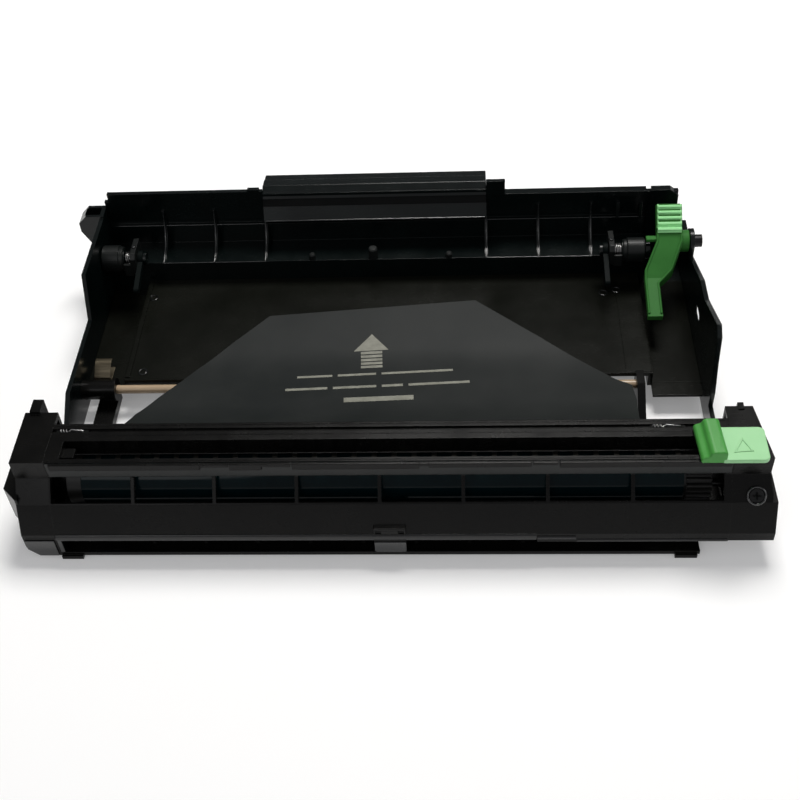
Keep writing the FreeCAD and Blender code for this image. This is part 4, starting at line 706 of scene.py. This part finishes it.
LIP_BACK = -96.9
LIP_RUNS = [(-135.6, 61.6, 13.4, 1.05, 1.9), (62.0, 77.4, 12.9, 0.8, 1.0),
            (78.0, 137.6, 10.9, 0.6, 0.8)]
DECK_LINES = [(-82.7, -135.0, 123.0), (-69.0, -120.0, 122.0), (-63.6, -135.0, 137.0)]
DECK_LINE_HALF, DECK_LINE_Z = 0.25, (45.0, 45.6)
DECK_SLOT_X = ((-134.5, -121.0), (107.0, 121.0))
DECK_SLOT_Y, DECK_SLOT_Z = (-67.2, -65.4), (44.3, 44.9)
CATCH_X, CATCH_Y = (-4.0, 9.0), (-97.3, -95.0)
CATCH_BAR_Y, CATCH_BAR_Z = (-97.95, -97.3), (11.6, 12.6)
CATCH_LOW, CATCH_HOLE_LOW, CATCH_HOLE_HIGH, CATCH_TOP = 3.4, 15.6, 17.8, 19.0
CATCH_POSTS = ((-4.0, -3.2), (-1.0, 6.0), (8.2, 9.0))
FOOT_OUTLINE = [(-4.0, 10.8), (-4.0, 5.2), (-3.2, 4.4), (8.2, 4.4), (9.0, 5.2), (9.0, 10.8)]
FOOT_Y = (-97.95, -97.2)
TOE_OUTLINE = [(-149.5, 11.6), (-149.5, 6.2), (-145.2, 1.8), (-137.0, 1.8), (-137.0, 11.6)]
TOE_Y = (-97.6, -96.95)
TOE_STEP = ((-137.4, -134.2), (-96.9, -92.0), (2.0, 11.8))


def build_window_cutters(shape):
    """Blocks that make the cover's windows taller; the end ones are a little wider."""
    for index in range(WINDOWS):
        left = WINDOW_FIRST + WINDOW_PITCH * index
        right = left + WINDOW_WIDE
        if index == 0:
            left -= WINDOW_EXTRA_LEFT
        if index == WINDOWS - 1:
            right += WINDOW_EXTRA_RIGHT
        block(shape, (left, right), WINDOW_Y, WINDOW_Z)


def build_window_wall(shape):
    """A sheet of the frame's dark plastic on the wall behind the flange over the windows: painted
    shade on that wall.
    """
    block(shape, *WINDOW_WALL)


def build_ledges(shape):
    """A stepped flange along the top of the windows."""
    for left, right, low in LEDGES:
        block(shape, (left, right), LEDGE_Y, (low, LEDGE_TOP))


def build_lip(shape):
    """The rounded bead on the cover's lower edge, in three lengths."""
    for left, right, height, proud, tall in LIP_RUNS:
        outline = [(LIP_BACK - proud * math.cos(math.radians(angle)),
                    height + tall * math.sin(math.radians(angle)))
                   for angle in range(-90, 91, 15)]
        prism(shape, outline, "X", left, right)


def build_ribs(shape):
    """Fine raised lines along the deck, on both sides of the channel."""
    for middle, left, right in DECK_LINES:
        block(shape, (left, right), (middle - DECK_LINE_HALF, middle + DECK_LINE_HALF), DECK_LINE_Z)


def build_deck_slots(shape):
    """Dark blocks in the groove where the two small wire springs lie: painted shade of their beds.
    """
    for x in DECK_SLOT_X:
        block(shape, x, DECK_SLOT_Y, DECK_SLOT_Z)


def build_catch(shape):
    """The front catch: a plate with two square holes near its top and a bar across it."""
    for x in CATCH_POSTS:
        block(shape, x, CATCH_Y, (CATCH_HOLE_LOW, CATCH_HOLE_HIGH))
    block(shape, CATCH_X, CATCH_Y, (CATCH_HOLE_HIGH, CATCH_TOP))
    block(shape, CATCH_X, CATCH_Y, (CATCH_LOW, CATCH_HOLE_LOW))
    block(shape, CATCH_X, CATCH_BAR_Y, CATCH_BAR_Z)


def build_catch_foot(shape):
    """The glossy foot of the catch, its lower corners cut."""
    prism(shape, FOOT_OUTLINE, "Y", *FOOT_Y)


def build_toe_plate(shape):
    """The glossy plate on the left toe and the post beside it."""
    prism(shape, TOE_OUTLINE, "Y", *TOE_Y)
    block(shape, *TOE_STEP)


cut_copy("top_cover", "window_cover", build_window_cutters, COVER, "housing")
mesh_piece("catch_plate", build_catch, COVER, "housing", bevel=0.2,
           replaced=["front_latch"])
mesh_piece("catch_foot", build_catch_foot, HIGHLIGHT_TRIM, "housing", bevel=0.3)
mesh_piece("toe_plate", build_toe_plate, HIGHLIGHT_TRIM, "housing", bevel=0.3)
mesh_piece("window_wall_shade", build_window_wall, FRAME, "housing")
mesh_piece("cover_ledges", build_ledges, COVER, "housing", bevel=0.2)
mesh_piece("cover_lip", build_lip, LIP, "housing")
mesh_piece("deck_ribs", build_ribs, COVER, "housing", bevel=0.15)
mesh_piece("deck_slot_shades", build_deck_slots, SHADE_PLASTIC, "housing")

CLIP_WIRE, CLIP_RADIUS, CLIP_TURNS, CLIP_Y, CLIP_Z = 0.22, 0.6, 3, -66.3, 45.2
CLIP_TAIL = [(0.5, -66.0, 45.8), (0.75, -66.6, 46.0), (1.0, -66.2, 45.2)]
CLIP_COIL_SHARE = 0.35


def clip(left, reach):
    """A small wire spring in the deck's groove: a coil and a wavy tail."""
    long = reach * CLIP_COIL_SHARE
    start = coil((left, CLIP_Y, CLIP_Z), (1, 0, 0), CLIP_RADIUS, long, CLIP_TURNS)
    return start + [(left + reach * share, y, z) for share, y, z in CLIP_TAIL]


wire_piece("deck_clips", [clip(-133.0, 10.0), clip(108.0, 11.0)], CLIP_WIRE, STEEL, "housing")


# Screw head: a ring of plastic round it, and painted shade in its cross slot

SCREW_CENTRE = Vector((147.4, -89.85, 30.0))
SLOPE = Vector((0, -0.733, 0.68))
SCREW_RING = [(3.0, -0.6), (3.9, -0.6), (3.9, 0.25), (3.6, 0.5), (3.3, 0.5), (3.0, 0.25)]
CROSS_LIFT, CROSS_LOW, CROSS_HIGH, CROSS_LONG, CROSS_WIDE = 1.28, -0.3, 0.05, 1.5, 0.28
BOX_FACES = ((0, 1, 2, 3), (7, 6, 5, 4), (0, 4, 5, 1), (1, 5, 6, 2), (2, 6, 7, 3), (3, 7, 4, 0))


def build_screw_ring(shape):
    """The raised ring round the screw's head."""
    turned_ring(shape, SCREW_RING, SCREW_CENTRE, SLOPE)


def build_screw_cross(shape):
    """The cross in the screw's head: two crossed dark bars square to the slope, painted shade of
    the cross slot.
    """
    level_way = Vector((1, 0, 0))
    slope_way = SLOPE.cross(level_way).normalized()
    centre = SCREW_CENTRE + SLOPE * CROSS_LIFT
    for along, side in ((level_way, slope_way), (slope_way, level_way)):
        corners = []
        for level in (CROSS_LOW, CROSS_HIGH):
            corners += [shape.verts.new(centre + SLOPE * level + along * a * CROSS_LONG
                                        + side * b * CROSS_WIDE)
                        for a, b in ((-1, -1), (1, -1), (1, 1), (-1, 1))]
        for order in BOX_FACES:
            shape.faces.new([corners[index] for index in order])


mesh_piece("screw_ring", build_screw_ring, HIGHLIGHT_TRIM, "housing")
mesh_piece("screw_cross_shade", build_screw_cross, SHADE_PLASTIC, "housing")


# Rounded edges of the rear wall's ribs, ledge, shelf and grip, in the lighter trim: painted
# highlight lines

RIBS = (-114.9, -89.6, -64.3, 44.3, 69.6, 94.9)
RIB_LINE = [(61.9, 26.4), (68.5, 27.6), (74.6, 33.0), (77.8, 39.5), (78.9, 45.0)]
LEDGE_LINES = [(-115.5, -63.8, 61.95, 26.1), (43.8, 95.4, 61.95, 26.1),
               (-138.0, -64.4, 77.95, 36.9), (44.4, 120.0, 77.95, 36.9)]
RIB_EDGE, LEDGE_EDGE = 0.32, 0.224

wire_piece("rib_edge_highlights", [[(x, y, z) for y, z in RIB_LINE] for x in RIBS], RIB_EDGE, HIGHLIGHT_TRIM, "housing",
           smooth=True)
wire_piece("ledge_edge_highlights", [[(left, y, z), (right, y, z)] for left, right, y, z in LEDGE_LINES],
           LEDGE_EDGE, HIGHLIGHT_TRIM, "housing")


# Sleeves of the press arms and the brackets that carry their pins

SLEEVE_LONG, SLEEVE_SIDES = 10.3, 36
SLEEVE_ROUND, SLEEVE_STEP, SLEEVE_NECK = 0.5, 2.2, 1.8
SLEEVE_NECK_IN, SLEEVE_END_IN = 0.7, 1.1
BRACKET_LONG, CHEEK, BRACKET_BACK = 6.4, 2.7, 66.3
CHEEK_LOW_CUT, CHEEK_TOP_CUT, CHEEK_MERGE = 1.5, 2.2, 0.1
TRAY_IN, TRAY_THICK, LIP_IN, LIP_OUT, LIP_OVER = 0.6, 1.6, 0.2, 1.5, 0.8
HALF_LEFT, HALF_RIGHT = 6.2, 5.6
HEAD_PROFILE, HEAD_BACK, HEAD_SIDES = [(1.0, -0.2), (1.0, 0.5), (0.7, 0.8)], 0.8, 20
HEADS = ((-127.1, HALF_LEFT), (103.4, HALF_RIGHT))


def sleeve(start, inward, radius):
    """A round sleeve over a pin, with a neck and a step at its inner end."""
    profile = [(radius - SLEEVE_ROUND, 0.0), (radius, SLEEVE_ROUND),
               (radius, SLEEVE_LONG - SLEEVE_STEP),
               (radius - SLEEVE_NECK_IN, SLEEVE_LONG - SLEEVE_NECK),
               (radius - SLEEVE_NECK_IN, SLEEVE_LONG - SLEEVE_ROUND),
               (radius - SLEEVE_END_IN, SLEEVE_LONG)]

    def build(shape):
        turned(shape, profile, (start, *PRESS_AXIS), (inward, 0, 0), SLEEVE_SIDES)
    return build


def bracket(start, inward, half):
    """A cheek against the arm, with a tray and a front lip that carry the spring."""
    back, height = PRESS_AXIS
    front, low, top = back - half, height - half, height + half
    cheek = [(BRACKET_BACK, low), (front + CHEEK_LOW_CUT, low), (front, low + CHEEK_LOW_CUT),
             (front, top - CHEEK_TOP_CUT), (front + CHEEK_TOP_CUT, top), (BRACKET_BACK, top)]
    cheek_x = sorted((start, start + inward * CHEEK))
    tray_x = sorted((start + inward * (CHEEK - CHEEK_MERGE), start + inward * BRACKET_LONG))

    def build(shape):
        prism(shape, cheek, "X", *cheek_x)
        block(shape, tray_x, (front + TRAY_IN, BRACKET_BACK), (low, low + TRAY_THICK))
        block(shape, tray_x, (front + LIP_IN, front + LIP_OUT), (low, height + LIP_OVER))
    return build


def build_screw_heads(shape):
    """A small round head on the top of each bracket's cheek."""
    back, height = PRESS_AXIS
    for x, half in HEADS:
        turned(shape, HEAD_PROFILE, (x, back + HEAD_BACK, height + half), (0, 0, 1), HEAD_SIDES)


mesh_piece("press_sleeve_left", sleeve(-142.7, 1, 6.5), HUB, "press_left")
mesh_piece("press_sleeve_right", sleeve(119.1, -1, 5.8), HUB, "press_right")
mesh_piece("press_bracket_left", bracket(-125.7, -1, HALF_LEFT), HUB, "housing",
           bevel=0.3)
mesh_piece("press_bracket_right", bracket(102.1, 1, HALF_RIGHT), HUB, "housing",
           bevel=0.3)
mesh_piece("bracket_heads", build_screw_heads, HIGHLIGHT_TRIM, "housing")


# The recess outside the right wall's slot

WALL_RECESS = ((140.6, 143.0), (15.5, 34.0), (16.0, 28.5))


def build_wall_recess(shape):
    """The block that thins the wall round its slot."""
    block(shape, *WALL_RECESS)


cut_copy("right_side_wall", "slotted_wall", build_wall_recess, FRAME, "housing")


# The hood over the grip, and painted shade for the groove under its brow

HOOD_X = (-64.3, 44.3)
HOOD_OUTLINE = [(79.2, 50.6), (81.1, 53.8), (84.0, 55.5), (90.0, 54.5), (90.0, 53.7), (84.0, 54.7),
                (81.6, 53.1), (79.9, 50.4)]
GROOVE_OUTLINE = [(77.5, 47.6), (79.35, 50.6), (79.7, 50.4), (77.9, 47.5)]
HOOD_EDGE, HOOD_EDGE_IN, HOOD_EDGE_PLACE = 0.4, 0.5, (74.0, 41.5)


def build_hood(shape):
    """The curved skin over the grip's brow and top."""
    prism(shape, HOOD_OUTLINE, "X", *HOOD_X)


def build_hood_groove(shape):
    """A dark strip under the brow: painted shade of the groove."""
    prism(shape, GROOVE_OUTLINE, "X", *HOOD_X)


mesh_piece("grip_hood", build_hood, FRAME, "housing", bevel=0.2)
mesh_piece("grip_groove_shade", build_hood_groove, SHADE_PLASTIC, "housing")
wire_piece("grip_edge_highlight", [[(HOOD_X[0] + HOOD_EDGE_IN, *HOOD_EDGE_PLACE),
                         (HOOD_X[1] - HOOD_EDGE_IN, *HOOD_EDGE_PLACE)]],
           HOOD_EDGE, HIGHLIGHT_TRIM, "housing")


# Pegs on the ledge, and the floor's pips, steps and skirts

PEGS = [(-11.0, 63.9, 2.3, 6.0), (-41.0, 63.6, 1.6, 3.2), (26.0, 63.6, 1.7, 2.6)]
PEG_BASE, PEG_CHAMFER, PEG_SIDES = 26.0, 0.6, 24
PIPS = [(-119.9, 48.7), (106.5, 49.3), (100.1, 47.3), (-116.0, -2.7), (-65.5, -5.5)]
PIP_PROFILE = [(1.5, -0.2), (2.1, -0.2), (2.1, 0.25), (1.9, 0.4), (1.6, 0.4), (1.5, 0.25)]
FLOOR_TOP, PIP_SIDES = 15.0, 28
FLOOR_STEPS = [((106.0, 117.6), (-6.4, 46.0), (14.9, 15.3)),
               ((-123.8, -121.6), (-6.4, 60.0), (14.9, 15.6))]
SKIRTS = [((-124.0, -76.0), (-7.9, -6.9), (8.6, 15.0)), ((117.6, 139.9), (-15.2, -6.9), (7.6, 9.0))]


def build_pegs(shape):
    """Round pegs that stand on the rear ledge."""
    for x, y, radius, high in PEGS:
        profile = [(radius, 0), (radius, high - PEG_CHAMFER), (radius - PEG_CHAMFER, high)]
        turned(shape, profile, (x, y, PEG_BASE), (0, 0, 1), PEG_SIDES)


def build_pips(shape):
    """Low rings on the floor."""
    for x, y in PIPS:
        turned_ring(shape, PIP_PROFILE, (x, y, FLOOR_TOP), (0, 0, 1), PIP_SIDES)


def build_floor_step(shape):
    """The raised strips along both sides of the floor."""
    for step in FLOOR_STEPS:
        block(shape, *step)


def build_skirts(shape):
    """The tray's front skirt behind the feed shaft, and the bar over the right gap."""
    for skirt in SKIRTS:
        block(shape, *skirt)


mesh_piece("tray_skirts", build_skirts, LIT_FLOOR, "housing", bevel=0.2)
mesh_piece("ledge_pegs", build_pegs, HUB, "housing")
mesh_piece("floor_pips", build_pips, HIGHLIGHT_TRIM, "housing")
mesh_piece("floor_step", build_floor_step, LIT_FLOOR, "housing", bevel=0.15)
mesh_piece("contact_strip", build_leaf, BRASS, "housing",
           replaced=["contact_leaf"])


# Camera, lamps and floor

CAMERA_PLACE = Vector((0.0351, -0.3896, 0.4055))
CAMERA_TILT, CAMERA_YAW, CAMERA_ROLL = 46.47, 5.19, -4.35
CAMERA_SENSOR, CAMERA_LENS, CAMERA_CLIP = 36, 54, (0.01, 10)
FRAME_SIZE, FRAME_CENTRE = 800, (394.1, 396.7)
FLOOR_HALF, FLOOR_DROP, FLOOR_GREY, FLOOR_GLOW = 4.0, 0.0002, 0.84, 0.2
ROOM_STOPS, ROOM_BLUE = ((0.25, 0.42), (0.62, 0.14)), 1.03


def camera():
    """The camera at the photograph's place, turned by its tilt, yaw and roll."""
    tilt, yaw, roll = (math.radians(angle) for angle in (CAMERA_TILT, CAMERA_YAW, CAMERA_ROLL))
    ahead = Vector((0, math.cos(tilt), -math.sin(tilt)))
    up = Vector((0, math.sin(tilt), math.cos(tilt)))
    right = Vector((1, 0, 0))
    turn = Matrix.Rotation(yaw, 3, "Z")
    ahead, up, right = turn @ ahead, turn @ up, turn @ right
    c, s = math.cos(roll), math.sin(roll)
    right, up = c * right + s * up, c * up - s * right
    data = bpy.data.cameras.new("view")
    data.sensor_width = CAMERA_SENSOR
    data.lens = CAMERA_LENS
    data.shift_x = (FRAME_SIZE / 2 - FRAME_CENTRE[0]) / FRAME_SIZE
    data.shift_y = (FRAME_CENTRE[1] - FRAME_SIZE / 2) / FRAME_SIZE
    data.clip_start, data.clip_end = CAMERA_CLIP
    eye = bpy.data.objects.new("view", data)
    bpy.context.scene.collection.objects.link(eye)
    eye.matrix_world = Matrix([*zip(right, up, -ahead, CAMERA_PLACE), (0, 0, 0, 1)])
    bpy.context.scene.camera = eye


def lamp(name, place, aim, width, depth, power, colour=(1, 1, 1)):
    """A soft rectangular lamp that faces a point."""
    data = bpy.data.lights.new(name, "AREA")
    data.energy = power
    data.color = colour
    data.shape = "RECTANGLE"
    data.size = width
    data.size_y = depth
    holder = bpy.data.objects.new(name, data)
    bpy.context.scene.collection.objects.link(holder)
    holder.location = place
    holder.rotation_mode = "QUATERNION"
    holder.rotation_quaternion = (Vector(aim) - Vector(place)).to_track_quat("-Z", "Y")


def either(tree, *sockets):
    """The largest of several ray switches."""
    total = sockets[0]
    for socket in sockets[1:]:
        node = tree.nodes.new("ShaderNodeMath")
        node.operation = "MAXIMUM"
        tree.links.new(total, node.inputs[0])
        tree.links.new(socket, node.inputs[1])
        total = node.outputs[0]
    return total


def floor():
    """A plain pale floor that keeps the object's shadow and looks white to the camera."""
    mesh = bpy.data.meshes.new("floor")
    corners = [(x * FLOOR_HALF, y * FLOOR_HALF, 0) for x, y in ((-1, -1), (1, -1), (1, 1), (-1, 1))]
    mesh.from_pydata(corners, [], [(0, 1, 2, 3)])
    ground = bpy.data.objects.new("floor", mesh)
    bpy.context.scene.collection.objects.link(ground)
    ground.location.z = -FLOOR_DROP
    material, tree, shader = new_material("pale_floor")
    shader.inputs["Base Color"].default_value = (*grey(FLOOR_GREY), 1)
    shader.inputs["Roughness"].default_value = 0.9
    shader.inputs["Specular IOR Level"].default_value = 0.1
    shader.inputs["Emission Color"].default_value = (1, 1, 1, 1)
    rays = tree.nodes.new("ShaderNodeLightPath")
    seen = either(tree, rays.outputs["Is Camera Ray"], rays.outputs["Is Glossy Ray"],
                  rays.outputs["Is Transmission Ray"])
    glow = tree.nodes.new("ShaderNodeMath")
    glow.operation = "MULTIPLY"
    glow.inputs[1].default_value = FLOOR_GLOW
    tree.links.new(seen, glow.inputs[0])
    tree.links.new(glow.outputs[0], shader.inputs["Emission Strength"])
    mesh.materials.append(material)


def room():
    """A plain pale room, darker behind the object than in front of it."""
    world = bpy.data.worlds.new("room")
    world.use_nodes = True
    tree = world.node_tree
    sky = next(node for node in tree.nodes if node.type == "BACKGROUND")
    where = tree.nodes.new("ShaderNodeTexCoord")
    split = tree.nodes.new("ShaderNodeSeparateXYZ")
    tree.links.new(where.outputs["Generated"], split.inputs["Vector"])
    shade = tree.nodes.new("ShaderNodeValToRGB")
    shade.color_ramp.interpolation = "EASE"
    for element, (place, value) in zip(shade.color_ramp.elements, ROOM_STOPS):
        element.position = place
        element.color = (value, value, value * ROOM_BLUE, 1)
    half = tree.nodes.new("ShaderNodeMapRange")
    half.inputs["From Min"].default_value = -1
    tree.links.new(split.outputs["Y"], half.inputs["Value"])
    tree.links.new(half.outputs["Result"], shade.inputs["Fac"])
    tree.links.new(shade.outputs["Color"], sky.inputs["Color"])
    sky.inputs["Strength"].default_value = 1.0
    bpy.context.scene.world = world


camera()
floor()
room()
lamp("overhead", (0.12, 0.50, 1.20), (0, 0, 0), 0.55, 0.40, 14.5, (1, 0.985, 0.96))
lamp("right_fill", (1.25, -0.05, 0.42), (0, 0, 0), 0.6, 0.5, 1.6)
lamp("front_fill", (-0.5, -1.0, 0.9), (0, 0, 0), 0.4, 0.4, 1.2)
bpy.context.scene.view_settings.view_transform = "Standard"
